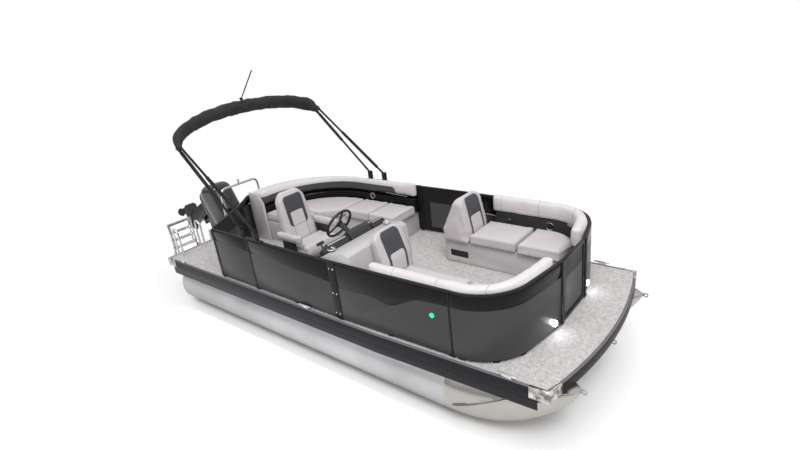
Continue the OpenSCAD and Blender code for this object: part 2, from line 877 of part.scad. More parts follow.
// One seat cushion of the lounge: the part of the seat's plan inside a box
module lounge_cushion(x0, x1, y0, y1) {
  translate([0, 0, seat_base_z]) linear_extrude(cushion_t) intersection() {
    polygon(concat(back_edge(cushion_gap),
                   [[lounge_front_x, port_seat_y], [aft_seat_x + 320, port_seat_y],
                    [aft_seat_x, 300], [aft_seat_x, aft_seat_y]]));
    translate([x0, y0]) square([x1 - x0, y1 - y0]);
  }
}

module lounge_seats() {
  corner_end = aft_seat_x + 320;
  split_x = (corner_end + lounge_front_x)/2;
  color("gainsboro") place() {
    lounge_cushion(0, aft_seat_x + 10, aft_seat_y, 300 - cushion_gap);
    lounge_cushion(0, corner_end, 300, fence_y);
    lounge_cushion(corner_end + cushion_gap, split_x, 0, fence_y);
    lounge_cushion(split_x + cushion_gap, lounge_front_x, 0, fence_y);
  }
}

bolster_low = 560;

// Room between the lounge's bolster and the fence for the bimini's brackets
bracket_room = 16;

// Padded back: a wide bolster over the inner back pads
module lounge_back() {
  color("gainsboro") place() translate([0, 0, bolster_low])
    linear_extrude(bolster_top - bolster_low)
      polygon(concat(back_edge(0), back_outer(lounge_front_x, bracket_room)));
  color("dimgray") place() translate([0, 0, seat_base_z])
    linear_extrude(bolster_low - fit - seat_base_z)
      polygon(concat(back_edge(-12), back_outer(lounge_front_x)));
}

chaise_x0 = side_gate_x + 24;
chaise_x1 = deck_len - 1320;
chaise_y0 = 465;
chaise_y1 = fence_y - fence_nip - wall_in - bolster_t - 8;
corner_in = bow_corner_r - wall_in - bolster_t - 8;

// Plan of the seat in a bow corner, on the port side
function corner_plan(x0, y0, off) =
  concat([[x0, y0 + off], [corner_cx + corner_in - 70 - off, y0 + off]],
         arc(corner_cx, corner_y, corner_in - off, 12, 90, 8),
         [[x0, corner_y + corner_in - off]]);

module bow_base(x0, y0) {
  linear_extrude(seat_base_z - fit) polygon(corner_plan(x0, y0, toe));
}

bench_x0 = console_x + 450;

module bow_bases() {
  color("gainsboro") place() {
    difference() {
      bow_base(chaise_x0 + 10, chaise_y0);
      // vent opening low in the inboard side
      box(chaise_x0 + 85, chaise_x0 + 345, chaise_y0, chaise_y0 + toe + 22, 90, 182);
    }
    mirror([0, 1, 0]) bow_base(bench_x0, chaise_y0);
  }
}

module bow_seats() {
  z0 = seat_base_z;
  color("gainsboro") place() {
    box(chaise_x0 + 400, chaise_x1, chaise_y0, chaise_y1, z0, seat_h);
    translate([0, 0, z0]) linear_extrude(cushion_t)
      polygon(corner_plan(chaise_x1 + cushion_gap, chaise_y0, 0));
    mirror([0, 1, 0]) {
      box(bench_x0 + 150, chaise_x1, chaise_y0, chaise_y1, z0, seat_h);
      translate([0, 0, z0]) linear_extrude(cushion_t)
        polygon(corner_plan(chaise_x1 + cushion_gap, chaise_y0, 0));
    }
  }
}

module bow_backrests() {
  color("gainsboro") place() {
    plate_xz([[chaise_x0 + 4, seat_base_z], [chaise_x0 + 394, seat_base_z],
              [chaise_x0 + 380, seat_h + 30], [chaise_x0 + 300, 860],
              [chaise_x0 + 260, 905], [chaise_x0 + 190, 890], [chaise_x0 + 110, 700],
              [chaise_x0 + 4, 480]], (chaise_y0 + chaise_y1)/2, chaise_y1 - chaise_y0);
    plate_xz([[console_x + 446, seat_base_z], [bench_x0 + 146, seat_base_z],
              [bench_x0 + 130, 600], [bench_x0 + 24, 905], [bench_x0 - 10, 945],
              [console_x + 404, 930], [console_x + 404, 806], [console_x + 444, 484]],
             -(chaise_y0 + chaise_y1)/2 + 130, chaise_y1 - chaise_y0 - 20);
  }
}

// Path of the bow seating's back on the starboard side, ending at end_y beside a
// gate post at gate_y
function back_run(x0, end_y, gate_y) =
  concat([[x0, -side_y(x0)], [seam_x, -side_y(seam_x)]],
         arc(corner_cx, -corner_y, bow_corner_r, -90, -10, 10),
         [front_point(end_y, gate_y)]);

module bow_backing(t, z0, z1, x_star, x_port, gap) {
  wall(back_run(x_star, -gate_star_y + gap, -gate_star_y), wall_in, wall_in + t, z0, z1);
  mirror([0, 1, 0])
    wall(back_run(x_port, gate_port_y + gap, gate_port_y), wall_in, wall_in + t, z0, z1);
}

module bow_bolsters() {
  color("gainsboro") place()
    bow_backing(bolster_t, bolster_low, bolster_top, console_x + 620, chaise_x0 + 410, 60);
}

module bow_liners() {
  color("dimgray") place()
    bow_backing(40, 40, bolster_low - fit, console_x + 640, chaise_x0 + 420, 70);
}

// ---- bimini top, folded under its boot ----

arm_dir = [-cos(bimini_slope), 0, sin(bimini_slope)];
arm_up = [sin(bimini_slope), 0, cos(bimini_slope)];
boot_side = 1530;
boot_w = bimini_y - 20;
foot_b = [bimini_x + bimini_half, bimini_y, bimini_z];
foot_a = [bimini_x - bimini_half, bimini_y, bimini_z];

// Points of the folded top's arch; t runs from -1 to 1 across the boat
function arch(t) =
  let (y = boot_w*sin(90*t), s = boot_side
       + (bimini_reach - boot_side)*pow(abs(cos(90*t)), 0.95))
  [bimini_x, 0, bimini_z] + s*arm_dir + [0, y, 0];

ear_t = 6;
ear_y = 19;

module bimini_brackets() {
  color("dimgray") place() both_sides() {
    box(foot_a[0] - 110, foot_b[0] + 110, fence_y - ear_y - ear_t, fence_y + ear_y + ear_t,
        fence_h, fence_h + 10);
    for (f = [foot_a, foot_b])
      for (s = [-1, 1])
        box(f[0] - 30, f[0] + 30, fence_y + s*(ear_y + ear_t/2) - ear_t/2,
            fence_y + s*(ear_y + ear_t/2) + ear_t/2, fence_h, bimini_z + 22);
  }
}

boot_lead = 40;
leg_len = boot_side - boot_lead - bimini_d/32;

leg_close = 34;
sleeve_d = bimini_d + 14;

// Frame tube from its foot to the boot, with a sliding sleeve on part of its length
module leg(foot, up, sleeve) {
  end = [bimini_x, foot[1], bimini_z] + leg_len*arm_dir + up*leg_close*arm_up;
  run = end - foot;
  translate(foot) rotate([0, -atan2(-run[0], run[2]), 0]) {
    cylinder(h = norm(run), d = bimini_d);
    translate([0, 0, sleeve[0]*norm(run)])
      cylinder(h = (sleeve[1] - sleeve[0])*norm(run), d = sleeve_d);
  }
}

module bimini_arms() {
  color("black") place() both_sides() {
    leg(foot_a, -1, [0.52, 0.96]);
    leg(foot_b, 1, [0.1, 0.62]);
    for (f = [foot_a, foot_b])
      bar_y(f[0], f[2], fence_y - ear_y + fit, fence_y + ear_y - fit, 16);
  }
}

module bimini_boot() {
  color("black") place()
    sweep(concat([arch(-1) - boot_lead*arm_dir], [for (i = [-12:12]) arch(i/12)],
                 [arch(1) - boot_lead*arm_dir]), arm_up, 150, 78, 16, 0.4);
}

module light_mast() {
  top = arch(0) + (150 + fit)*arm_up;
  color("black") place() translate(top) {
    rotate([0, bimini_slope, 0]) cylinder(h = 12, r = 26);
    rotate([0, 45, 0]) translate([0, 0, 5]) cylinder(h = 560, r = 8);
  }
}

// ---- stern fittings ----

hoop_r = 15;

// Grab rail: a leg up from the deck edge, over, and down to its front foot
module hoop(y) {
  top = 440;
  path = concat([[52, 0], [52, 200]], reversed(arc(112, top - 60, 60, 90, 180, 6)),
                reversed(arc(112, top - 80, 80, 0, 80, 6)), [[192, 0]]);
  sweep([for (p = path) [p[0], y, p[1]]], [0, 1, 0], hoop_r, hoop_r, 12);
}

module grab_rails() {
  color("gainsboro") place() {
    for (s = [-1, 1]) hoop(ladder_y + s*ladder_w/2);
    // hinge ears of the ladder, on the corner cap and on the rub rail
    ladder_ear(ladder_y - ladder_w/2 - 24, -4 - fit);
    ladder_ear(ladder_y + ladder_w/2 + 24, -fit);
  }
}

module ladder_ear(y, x1) {
  difference() {
    box(ladder_x - 16, x1, y - 5, y + 5, -60, 18);
    bar_y(ladder_x, 0, y - 20, y + 20, 8 + hinge_fit);
  }
}

rung_z = [70, 200, 330, 460];

module ladder() {
  color("gainsboro") place() {
    for (s = [-1, 1]) {
      y = ladder_y + s*ladder_w/2;
      translate([ladder_x, y, -15]) cylinder(h = 490, r = 14);
      translate([ladder_x - 32, y - s*30, 40]) cylinder(h = 430, r = 12);
      box(ladder_x - 40, ladder_x, y - s*15 - 20, y - s*15 + 20, 468, 480);
      // trunnion in the hinge ear
      bar_y(ladder_x, 0, y + min(0, s*30), y + max(0, s*30), 8);
    }
    for (z = rung_z)
      box(ladder_x - 52, ladder_x + 8, ladder_y - ladder_w/2, ladder_y + ladder_w/2,
          z - 12, z + 12);
  }
}

tow_x = 360;
tow_h = 850;
tow_w = 700;

module tow_bar() {
  r = 90;
  path = concat([[-tow_w/2 - 30, 3]], reversed(arc(-tow_w/2 + r, tow_h - r, r, 90, 175, 6)),
                reversed(arc(tow_w/2 - r, tow_h - r, r, 5, 90, 6)), [[tow_w/2 + 30, 3]]);
  color("gainsboro") place() {
    sweep([for (p = path) [tow_x, p[0], p[1]]], [1, 0, 0], 19, 19, 14);
    translate([tow_x, 0, tow_h + 15]) cylinder(h = 45, r = 14);
    translate([tow_x, 0, tow_h + 60]) cylinder(h = 10, r = 28);
    for (s = [-1, 1]) {
      translate([tow_x, s*(tow_w/2 + 30), 0]) cylinder(h = 8, r = 45);
      sweep([[tow_x, s*(tow_w/2 + 9), 520], [tow_x + 190, s*(tow_w/2 - 20), 8]],
            [0, 1, 0], 12, 12, 12);
      translate([tow_x + 190, s*(tow_w/2 - 20), 0]) cylinder(h = 14, r = 28);
    }
  }
}

// ---- outboard motor ----
// Upright frame of the motor: origin on the tilt pivot, +X forward, +Z up

module tilted() {
  place() translate([motor_x, 0, motor_z]) rotate([0, motor_tilt, 0]) children();
}

pivot_r = 16;
steer_x = -120;
steer_r = 22;
plate_y = 112;
mid_x = -330;

module motor_bracket() {
  color("black") place() {
    for (s = [-1, 1])
      plate_xz([[pod_rear, -330], [pod_rear, transom_z], [pod_rear + 40, transom_z],
                [pod_rear + 40, transom_z + 22], [motor_x + 30, motor_z + 34],
                [motor_x - 34, motor_z + 34], [motor_x - 34, motor_z - 20],
                [pod_rear - 50, -330]], s*plate_y, 16);
    bar_y(motor_x, motor_z, -plate_y, plate_y, pivot_r);
  }
}

swivel_z0 = -270;
swivel_z1 = 40;

module motor_swivel() {
  color("black") tilted() difference() {
    union() {
      bar_y(0, 0, -plate_y + 10, plate_y - 10, 34);
      translate([steer_x, 0, swivel_z0]) cylinder(h = swivel_z1 - swivel_z0, r = 46);
      box(steer_x, 0, -40, 40, -34, 30);
    }
    bar_y(0, 0, -200, 200, pivot_r + hinge_fit);
    translate([steer_x, 0, -500]) cylinder(h = 1000, r = steer_r + hinge_fit);
  }
}

plate_z = -leg_h;
prop_z = plate_z - prop_d/2 - 10;
case_r = 62;
cowl_z = swivel_z1 + 106;

module motor_leg() {
  color("black") tilted() {
    translate([steer_x, 0, -330]) cylinder(h = 440, r = steer_r);
    box(mid_x, steer_x + 45, -60, 60, swivel_z1 + 6, swivel_z1 + 90);
    box(mid_x, steer_x + 40, -50, 50, -330, swivel_z0 - 6);
    // mid section
    translate([0, 0, plate_z]) linear_extrude(cowl_z - fit - plate_z)
      polygon([[-185, 0], [-200, 65], [-360, 75], [-440, 40], [-450, 0], [-440, -40],
               [-360, -75], [-200, -65]]);
    // anti-ventilation plate
    translate([0, 0, plate_z]) linear_extrude(12)
      polygon([[-160, 0], [-220, 70], [-560, 125], [-600, 80], [-600, -80],
               [-560, -125], [-220, -70]]);
    // strut and skeg
    translate([0, 0, prop_z - 200]) linear_extrude(200 + plate_z - prop_z)
      polygon([[-200, 0], [-260, 20], [-400, 14], [-440, 0], [-400, -14], [-260, -20]]);
    // gear case
    translate([-490, 0, prop_z]) rotate([0, 90, 0]) rotate_extrude()
      polygon(concat([[0, 0], [case_r - 8, 0]],
                     [for (i = [0:8]) [case_r*cos(i*10.8) , 180 + 190*sin(i*11.25)]],
                     [[0, 372]]));
  }
}

module motor_cowl() {
  color("black") tilted() difference() {
    hull() {
      for (x = [-440, 40], y = [-125, 125]) translate([x, y, cowl_z + 40])
        sphere(r = 71, $fn = 24);
      for (x = [-470, 60], y = [-105, 105])
        translate([x, y, cowl_z + cowl_h*0.45]) sphere(r = 120, $fn = 24);
      for (x = [-400, -30], y = [-70, 70])
        translate([x, y, cowl_z + cowl_h - 140]) sphere(r = 140, $fn = 24);
    }
    box(-900, 500, -400, 400, cowl_z - 200, cowl_z);
  }
}

blade_t = 7;

module propeller() {
  color("black") tilted() translate([-490 - fit, 0, prop_z]) rotate([0, -90, 0]) {
    cylinder(h = 110, r = 52);
    for (a = [0, 120, 240]) rotate([0, 0, a]) translate([0, 0, 55]) rotate([62, 0, 0])
      translate([0, 0, -blade_t/2]) linear_extrude(blade_t)
        polygon(concat([[20, -38]], arc(prop_d/2 - 88, 0, 88, -75, 75, 10), [[20, 38]]));
  }
}

// ---- output ----

tube_port();
tube_starboard();
tube_centre();
nose_cones();
tow_eyes();
motor_pod();
cross_members();
deck();
rub_rail();
skirt();
corner_caps();
cleats();
fence_starboard();
fence_port();
fence_bow();
fence_stern();
panels_lower();
panels_upper();
bow_gate();
side_gate();
stern_gate();
lights();
console();
dash();
steering_wheel();
throttle();
chair_pedestal();
chair_frame();
chair_cushions();
lounge_base();
lounge_seats();
lounge_back();
bow_bases();
bow_seats();
bow_backrests();
bow_bolsters();
bow_liners();
bimini_brackets();
bimini_arms();
bimini_boot();
light_mast();
grab_rails();
ladder();
tow_bar();
motor_bracket();
motor_swivel();
motor_cowl();
motor_leg();
propeller();
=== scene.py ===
# %% [markdown]
# # Pontoon boat
# The boat is built round its imported CAD frame. Hard parts with the right shape are copied
# and get softened edges, soft parts are puffed up by a cloth simulation, and small
# fittings are modelled one by one. Everything is in metres, bow along +X, port along +Y.

# %% Load the frame
import json
import math

import bmesh
import bpy
from mathutils import Matrix, Vector

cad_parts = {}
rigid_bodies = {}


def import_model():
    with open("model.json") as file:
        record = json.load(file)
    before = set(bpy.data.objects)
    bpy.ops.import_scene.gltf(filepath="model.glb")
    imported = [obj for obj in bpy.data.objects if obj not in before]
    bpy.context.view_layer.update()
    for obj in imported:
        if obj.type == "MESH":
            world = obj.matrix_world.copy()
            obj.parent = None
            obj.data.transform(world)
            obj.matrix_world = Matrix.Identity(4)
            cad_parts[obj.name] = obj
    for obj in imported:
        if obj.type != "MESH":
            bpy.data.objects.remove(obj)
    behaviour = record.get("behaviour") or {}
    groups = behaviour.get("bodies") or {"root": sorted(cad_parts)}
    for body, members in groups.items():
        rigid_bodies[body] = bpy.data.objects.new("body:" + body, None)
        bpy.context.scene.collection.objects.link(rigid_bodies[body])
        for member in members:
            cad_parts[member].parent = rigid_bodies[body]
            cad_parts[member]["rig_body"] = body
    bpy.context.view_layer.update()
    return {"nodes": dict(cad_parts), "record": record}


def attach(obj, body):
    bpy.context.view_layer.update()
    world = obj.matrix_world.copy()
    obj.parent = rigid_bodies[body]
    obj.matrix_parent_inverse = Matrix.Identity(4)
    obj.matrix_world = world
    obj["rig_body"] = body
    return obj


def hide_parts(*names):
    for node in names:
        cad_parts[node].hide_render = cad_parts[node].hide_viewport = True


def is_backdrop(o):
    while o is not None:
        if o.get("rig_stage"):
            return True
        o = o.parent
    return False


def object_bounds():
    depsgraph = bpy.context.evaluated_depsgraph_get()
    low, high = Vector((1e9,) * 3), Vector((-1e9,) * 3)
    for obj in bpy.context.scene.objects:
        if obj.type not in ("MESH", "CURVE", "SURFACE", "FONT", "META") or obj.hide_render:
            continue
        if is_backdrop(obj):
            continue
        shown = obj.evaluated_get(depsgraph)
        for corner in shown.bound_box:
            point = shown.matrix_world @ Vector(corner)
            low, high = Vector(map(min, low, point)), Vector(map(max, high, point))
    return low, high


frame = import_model()
nodes = frame["nodes"]
body_of_node = {n: o["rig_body"] for n, o in nodes.items()}
slot_of_node = {s["node"]: s["material_slot"] for s in frame["record"]["subparts"]}

# %% [markdown]
# ## Places
# The drawings of a boat like this start at the middle of the deck's stern edge, on the
# deck's top face. One helper turns such a place, in millimetres, into the frame's metres,
# so that every fitting below can be read off the drawing.

# %% Places on the drawing
DECK_HEIGHT = 0.820
STERN_SHIFT = 2.320


def at(x, y, z):
    return Vector((x / 1000 - STERN_SHIFT, y / 1000, z / 1000 + DECK_HEIGHT))


print("deck middle", at(3185, 0, 0))

# %% [markdown]
# ## Camera
# The camera looks down on the starboard bow from above head height. Its turn is given by
# a heading, a downward pitch and a small roll, from which its three axes follow.

# %% Camera
HEADING, PITCH, ROLL = 2.28808067, 0.378409842, -0.122534897
CAMERA_PLACE = (5.348, -4.5245, 3.8684)
LENS, SENSOR_WIDTH = 23.255, 36


def camera_axes(heading, pitch, roll):
    forward = Vector((math.cos(heading) * math.cos(pitch),
                      math.sin(heading) * math.cos(pitch), -math.sin(pitch)))
    right = forward.cross(Vector((0, 0, 1))).normalized()
    up = right.cross(forward)
    return (right * math.cos(roll) + up * math.sin(roll),
            up * math.cos(roll) - right * math.sin(roll), forward)


bpy.ops.object.camera_add(location=CAMERA_PLACE)
camera = bpy.context.object
camera.name = "camera"
right, up, forward = camera_axes(HEADING, PITCH, ROLL)
camera.rotation_euler = Matrix((right, up, -forward)).transposed().to_euler()
camera.data.lens, camera.data.sensor_width = LENS, SENSOR_WIDTH
bpy.context.scene.camera = camera
print("camera at", camera.location)

# %% [markdown]
# ## Shader maths as expressions
# A wrapper round a node's output lets a formula such as 1 - mask * 0.5 add its own Math
# nodes. Any other node comes from one method that takes its type, settings and inputs.


# %% Wrapper and finish builder
class Value:
    """A number that varies over a surface."""

    def __init__(self, finish, out):
        self.finish, self.out = finish, out

    def _math(self, kind, first, second):
        return self.finish.node("Math", {"operation": kind}, [first, second])

    def __add__(self, other):
        return self._math("ADD", self, other)

    __radd__ = __add__

    def __sub__(self, other):
        return self._math("SUBTRACT", self, other)

    def __rsub__(self, other):
        return self._math("SUBTRACT", other, self)

    def __mul__(self, other):
        return self._math("MULTIPLY", self, other)

    __rmul__ = __mul__

    def __truediv__(self, other):
        return self._math("DIVIDE", self, other)

    def above(self, edge, width=0.001):
        """0 below edge and 1 above it, over a soft step of that width."""
        step = (self - edge) / width + 0.5
        return self.finish.node("Math", {"operation": "ADD", "use_clamp": True}, [step, 0.0])

    def size(self):
        return self.finish.node("Math", {"operation": "ABSOLUTE"}, [self])


class Finish:
    """A material under construction, on a Principled shader."""

    def __init__(self, name, colour, roughness=0.5, metallic=0.0, **constants):
        self.material = bpy.data.materials.new(name)
        self.material.use_nodes = True
        self.tree = self.material.node_tree
        self.shader = next(n for n in self.tree.nodes if n.type == "BSDF_PRINCIPLED")
        self.set("Base Color", (*colour, 1.0))
        self.set("Roughness", roughness)
        self.set("Metallic", metallic)
        for socket, value in constants.items():
            self.set(socket.replace("_", " ").title().replace("Ior", "IOR"), value)
        self.material.diffuse_color = (*colour, 1.0)

    def node(self, kind, settings=None, inputs=None, output=0):
        made = self.tree.nodes.new("ShaderNode" + kind)
        for key, value in (settings or {}).items():
            setattr(made, key, value)
        pairs = inputs.items() if isinstance(inputs, dict) else enumerate(inputs or [])
        for key, value in pairs:
            self._feed(made.inputs[key], value)
        return Value(self, made.outputs[output])

    def _feed(self, socket, value):
        if isinstance(value, Value):
            self.tree.links.new(value.out, socket)
        else:
            socket.default_value = value

    def set(self, socket, value):
        self._feed(self.shader.inputs[socket], value)
        return self

    def place(self, scale=(1, 1, 1)):
        """The surface point in the frame's metres, stretched by scale."""
        point = self.node("TexCoord", output="Object")
        return self.node("Mapping", inputs={"Vector": point, "Scale": scale})

    def noise(self, scale, detail=3.0, stretch=(1, 1, 1)):
        return self.node("TexNoise", inputs={"Vector": self.place(stretch), "Scale": scale,
                                             "Detail": detail})

    def cells(self, scale):
        return self.node("TexVoronoi", inputs={"Vector": self.place(), "Scale": scale})

    def threads(self, letter, scale, distortion=0.0):
        """Waves one after another along an axis."""
        return self.node("TexWave", {"bands_direction": letter}, {
            "Vector": self.place(), "Scale": scale, "Distortion": distortion}, output="Fac")

    def axis(self, letter):
        split = self.node("SeparateXYZ", inputs=[self.node("TexCoord", output="Object")])
        return Value(self, split.out.node.outputs[letter])

    def rounded_box(self, a, a_mid, a_half, b, b_mid, b_half, corner, slope=0.0):
        """How far a point lies outside a rounded rectangle on two axes, in metres. The
        second axis can slope along the first."""
        first, sides = self.axis(a) - a_mid, []
        second = self.axis(b) - b_mid - first * slope
        for offset, half in ((first, a_half), (second, b_half)):
            past = offset.size() - (half - corner)
            sides.append(self.node("Math", {"operation": "MAXIMUM"}, [past, 0.0]))
        square = sides[0] * sides[0] + sides[1] * sides[1]
        return self.node("Math", {"operation": "SQRT"}, [square]) - corner

    def blend(self, mask, first, second):
        """A colour from first, where mask is 0, to second, where it is 1."""
        made = self.tree.nodes.new("ShaderNodeMix")
        made.data_type = "RGBA"
        self._feed(made.inputs["Factor"], mask)
        for socket, value in (("A", first), ("B", second)):
            target = [s for s in made.inputs if s.name == socket and s.type == "RGBA"][0]
            self._feed(target, value if isinstance(value, Value) else (*value, 1.0))
        return Value(self, [s for s in made.outputs if s.type == "RGBA"][0])

    def bump(self, height, strength=0.3, distance=0.001):
        made = self.node("Bump", inputs={"Height": height, "Strength": strength,
                                         "Distance": distance}, output="Normal")
        return self.set("Normal", made)


finishes = {}


def keep(slot, finish):
    finishes[slot] = finish.material
    print("finish", slot, len(finish.tree.nodes), "nodes")


# %% [markdown]
# ## Metals
# The tubes are brushed aluminium: the brushing runs round the boat's length, so noise is
# stretched along X. It varies roughness and colour a little, and the tubes' lower part is
# darkened as painted shade. Cast and welded parts have a duller skin, and the fittings are
# mirror-bright chrome.

# %% Metal finishes
tube = Finish("brushed_aluminium", (0.62, 0.62, 0.63), 0.34, 1.0)
brush = tube.noise(40, 4, (0.4, 9, 9))
cloud = tube.noise(1.6, 3)
tube.set("Roughness", 0.26 + brush * 0.14 + cloud * 0.08)
# Painted shade: the tubes' lower part, towards the floor, is darkened.
painted_shade_below = 1 - tube.axis("Z").above(0.24, 0.34)
bands = tube.noise(1.1, 2, (1, 0.2, 0.2))
bare = tube.blend(bands * 0.7 + cloud * 0.3, (0.40, 0.40, 0.41), (0.90, 0.90, 0.91))
tube.set("Base Color", tube.blend(painted_shade_below * 0.6, bare, (0.16, 0.16, 0.165)))
tube.bump(brush, 0.12, 0.0006)
keep("brushed_tube", tube)

cone = Finish("nose_metal", (0.55, 0.535, 0.525), 0.24, 1.0)
cloud = cone.noise(2.2, 4)
cone.set("Roughness", 0.16 + cloud * 0.14)
cone.set("Base Color", cone.blend(cloud, (0.43, 0.405, 0.385), (0.66, 0.635, 0.61)))
cone.bump(cone.noise(60, 3), 0.05, 0.0008)
keep("nose_metal", cone)

plain = Finish("mill_metal", (0.55, 0.55, 0.56), 0.42, 1.0)
scuff = plain.noise(14, 5)
plain.set("Roughness", 0.32 + scuff * 0.22)
plain.set("Base Color", plain.blend(scuff, (0.42, 0.42, 0.43), (0.66, 0.66, 0.67)))
plain.bump(plain.noise(220, 2), 0.1, 0.0004)
keep("bare_metal", plain)

chrome = Finish("bright_chrome", (0.83, 0.83, 0.85), 0.08, 1.0)
chrome.set("Roughness", 0.05 + chrome.noise(9, 4) * 0.07)
keep("chrome", chrome)

skirting = Finish("dark_anodised", (0.03, 0.03, 0.033), 0.38, 0.3, specular_ior_level=0.2)
grit = skirting.noise(30, 4, (0.3, 3, 3))
skirting.set("Roughness", 0.30 + grit * 0.18)
skirting.set("Base Color", skirting.blend(grit, (0.018, 0.018, 0.021), (0.040, 0.040, 0.044)))
keep("dark_metal", skirting)

casting = Finish("cast_corner", (0.5, 0.49, 0.47), 0.2, 1.0)
pits = casting.noise(16, 4)
casting.set("Roughness", 0.10 + pits * 0.2)
casting.set("Base Color", casting.blend(pits.above(0.5, 0.25), (0.20, 0.195, 0.19),
                                        (0.82, 0.81, 0.78)))
casting.bump(casting.noise(34, 2), 0.6, 0.006)

# %% [markdown]
# ## Painted frames and panels
# Fence tubes are black powder coat, which has a fine orange-peel skin. The lower panels
# carry a metallic grey paint, whose flakes show as tiny brightness changes, and the upper
# band is deep gloss black.

# %% Paint finishes
coat = Finish("powder_coat", (0.035, 0.035, 0.04), 0.36, 0.0,
              coat_roughness=0.2, specular_ior_level=0.16)
coat.set("Roughness", 0.30 + coat.noise(18, 3) * 0.14)
coat.set("Base Color", coat.blend(coat.noise(5, 2), (0.010, 0.010, 0.012),
                                  (0.020, 0.020, 0.024)))
coat.bump(coat.noise(420, 2), 0.12, 0.0004)
keep("fence_frame", coat)

panel = Finish("metallic_grey", (0.06, 0.06, 0.061), 0.34, 0.3,
               coat_roughness=0.08, specular_ior_level=0.25)
flake = panel.noise(900, 1)
panel.set("Base Color", panel.blend(flake * 0.5 + panel.noise(2, 2) * 0.5,
                                    (0.048, 0.048, 0.050), (0.078, 0.078, 0.080)))
panel.set("Roughness", 0.28 + flake * 0.1)
keep("panel_grey", panel)

gloss = Finish("gloss_black", (0.01, 0.01, 0.011), 0.12, 0.0,
               coat_roughness=0.03, specular_ior_level=0.18)
gloss.set("Roughness", 0.10 + gloss.noise(3, 2) * 0.1)
gloss.set("Base Color", gloss.blend(gloss.noise(2, 2), (0.004, 0.004, 0.005),
                                    (0.008, 0.008, 0.009)))
keep("panel_black", gloss)

cowl_paint = Finish("cowl_black", (0.012, 0.012, 0.014), 0.16, 0.0,
                    coat_roughness=0.04, coat_weight=0.7)
cowl_paint.set("Roughness", 0.12 + cowl_paint.noise(6, 3) * 0.1)
keep("motor_black", cowl_paint)

leg_paint = Finish("leg_black", (0.02, 0.02, 0.022), 0.34, 0.2)
worn = leg_paint.noise(12, 4)
leg_paint.set("Roughness", 0.26 + worn * 0.2)
leg_paint.set("Base Color", leg_paint.blend(worn, (0.014, 0.014, 0.016), (0.035, 0.035, 0.038)))
leg_paint.bump(leg_paint.noise(300, 2), 0.12, 0.0004)
keep("motor_metal", leg_paint)

# %% [markdown]
# ## Plastics and rubber
# Consoles and seat bases are rotomoulded, with a very fine pebbled skin. The dash, wheel
# and throttle are darker and softer. The rub rail is black vinyl with a faint extrusion
# grain along its length, and its top face is painted a lighter grey as a painted sheen.

# %% Plastic finishes
shell = Finish("moulded_shell", (0.52, 0.50, 0.505), 0.42)
shell.set("Base Color", shell.blend(shell.noise(3, 3), (0.47, 0.45, 0.455), (0.56, 0.54, 0.54)))
shell.set("Roughness", 0.36 + shell.noise(30, 3) * 0.12)
shell.bump(shell.noise(500, 2), 0.15, 0.0004)
keep("moulding", shell)

facia = Finish("grained_black", (0.03, 0.03, 0.032), 0.42)
facia.set("Roughness", 0.36 + facia.noise(14, 3) * 0.16)
facia.bump(facia.cells(420.0), 0.25, 0.0004)
keep("dash_black", facia)

grip = Finish("soft_grip", (0.02, 0.02, 0.02), 0.5)
grip.bump(grip.cells(600.0), 0.3, 0.0004)
grip.set("Roughness", 0.42 + grip.noise(20, 3) * 0.16)
keep("wheel_black", grip)

rubber = Finish("rail_vinyl", (0.03, 0.03, 0.034), 0.42, specular_ior_level=0.14)
grain = rubber.noise(60, 3, (0.1, 4, 4))
rubber.set("Roughness", 0.34 + grain * 0.2)
# Painted sheen: the rail's top face, above the deck, is a lighter grey.
painted_sheen_top = rubber.axis("Z").above(DECK_HEIGHT - 0.002, 0.004)
rail_black = rubber.blend(grain, (0.010, 0.010, 0.012), (0.028, 0.027, 0.032))
rubber.set("Base Color", rubber.blend(painted_sheen_top, rail_black, (0.17, 0.155, 0.18)))
rubber.bump(grain, 0.2, 0.0006)
keep("rail_black", rubber)

lens = Finish("lamp_lens", (0.85, 0.9, 0.95), 0.08, emission_color=(0.9, 0.95, 1.0, 1.0),
              emission_strength=1.4)
lens.bump(lens.cells(160.0), 0.4, 0.001)
keep("lamp", lens)

# %% [markdown]
# ## Woven deck
# The deck is covered in woven vinyl: thick strands over and under each other in pale and
# mid grey. Two sets of waves, one across the other, make the weave's height, and noise at
# two scales gives the mottled mix of strand colours.

# %% Deck finish
weave = Finish("woven_vinyl", (0.5, 0.48, 0.47), 0.6)
across, along = (weave.threads(letter, 55.0, 0.6) for letter in "XY")
strand = across * along
fleck = weave.noise(230, 2, (0.35, 1, 1))
patch = weave.noise(26, 3)
tone = fleck * 0.75 + patch * 0.35 + strand * 0.25 - 0.12
weave.set("Base Color", weave.blend(tone.above(0.47, 0.5), (0.22, 0.20, 0.20),
                                    (0.80, 0.775, 0.77)))
weave.set("Roughness", 0.5 + fleck * 0.2)
weave.bump(strand + fleck * 0.5, 0.5, 0.0012)
keep("deck_weave", weave)


# %% [markdown]
# ## Upholstery
# Marine vinyl has a shallow leather grain, with creases of slightly different shade. The
# same recipe serves the light covers and the charcoal ones. Some covers have charcoal
# insets, which are laid out as boxes in the frame's own coordinates. The bolsters and the
# stern roll get a lighter copy of the light vinyl: painted light on the well-lit tops.

# %% Upholstery finish
LIGHT, CHARCOAL = (0.60, 0.565, 0.575), (0.062, 0.062, 0.070)
# A lighter copy of the light vinyl, painted light: the bolsters and the stern roll are the same
# vinyl as the seats, brighter only where more light falls on them.
PAINTED_LIT_LIGHT = (0.73, 0.70, 0.705)
SEAM_DARK = (0.05, 0.048, 0.05)


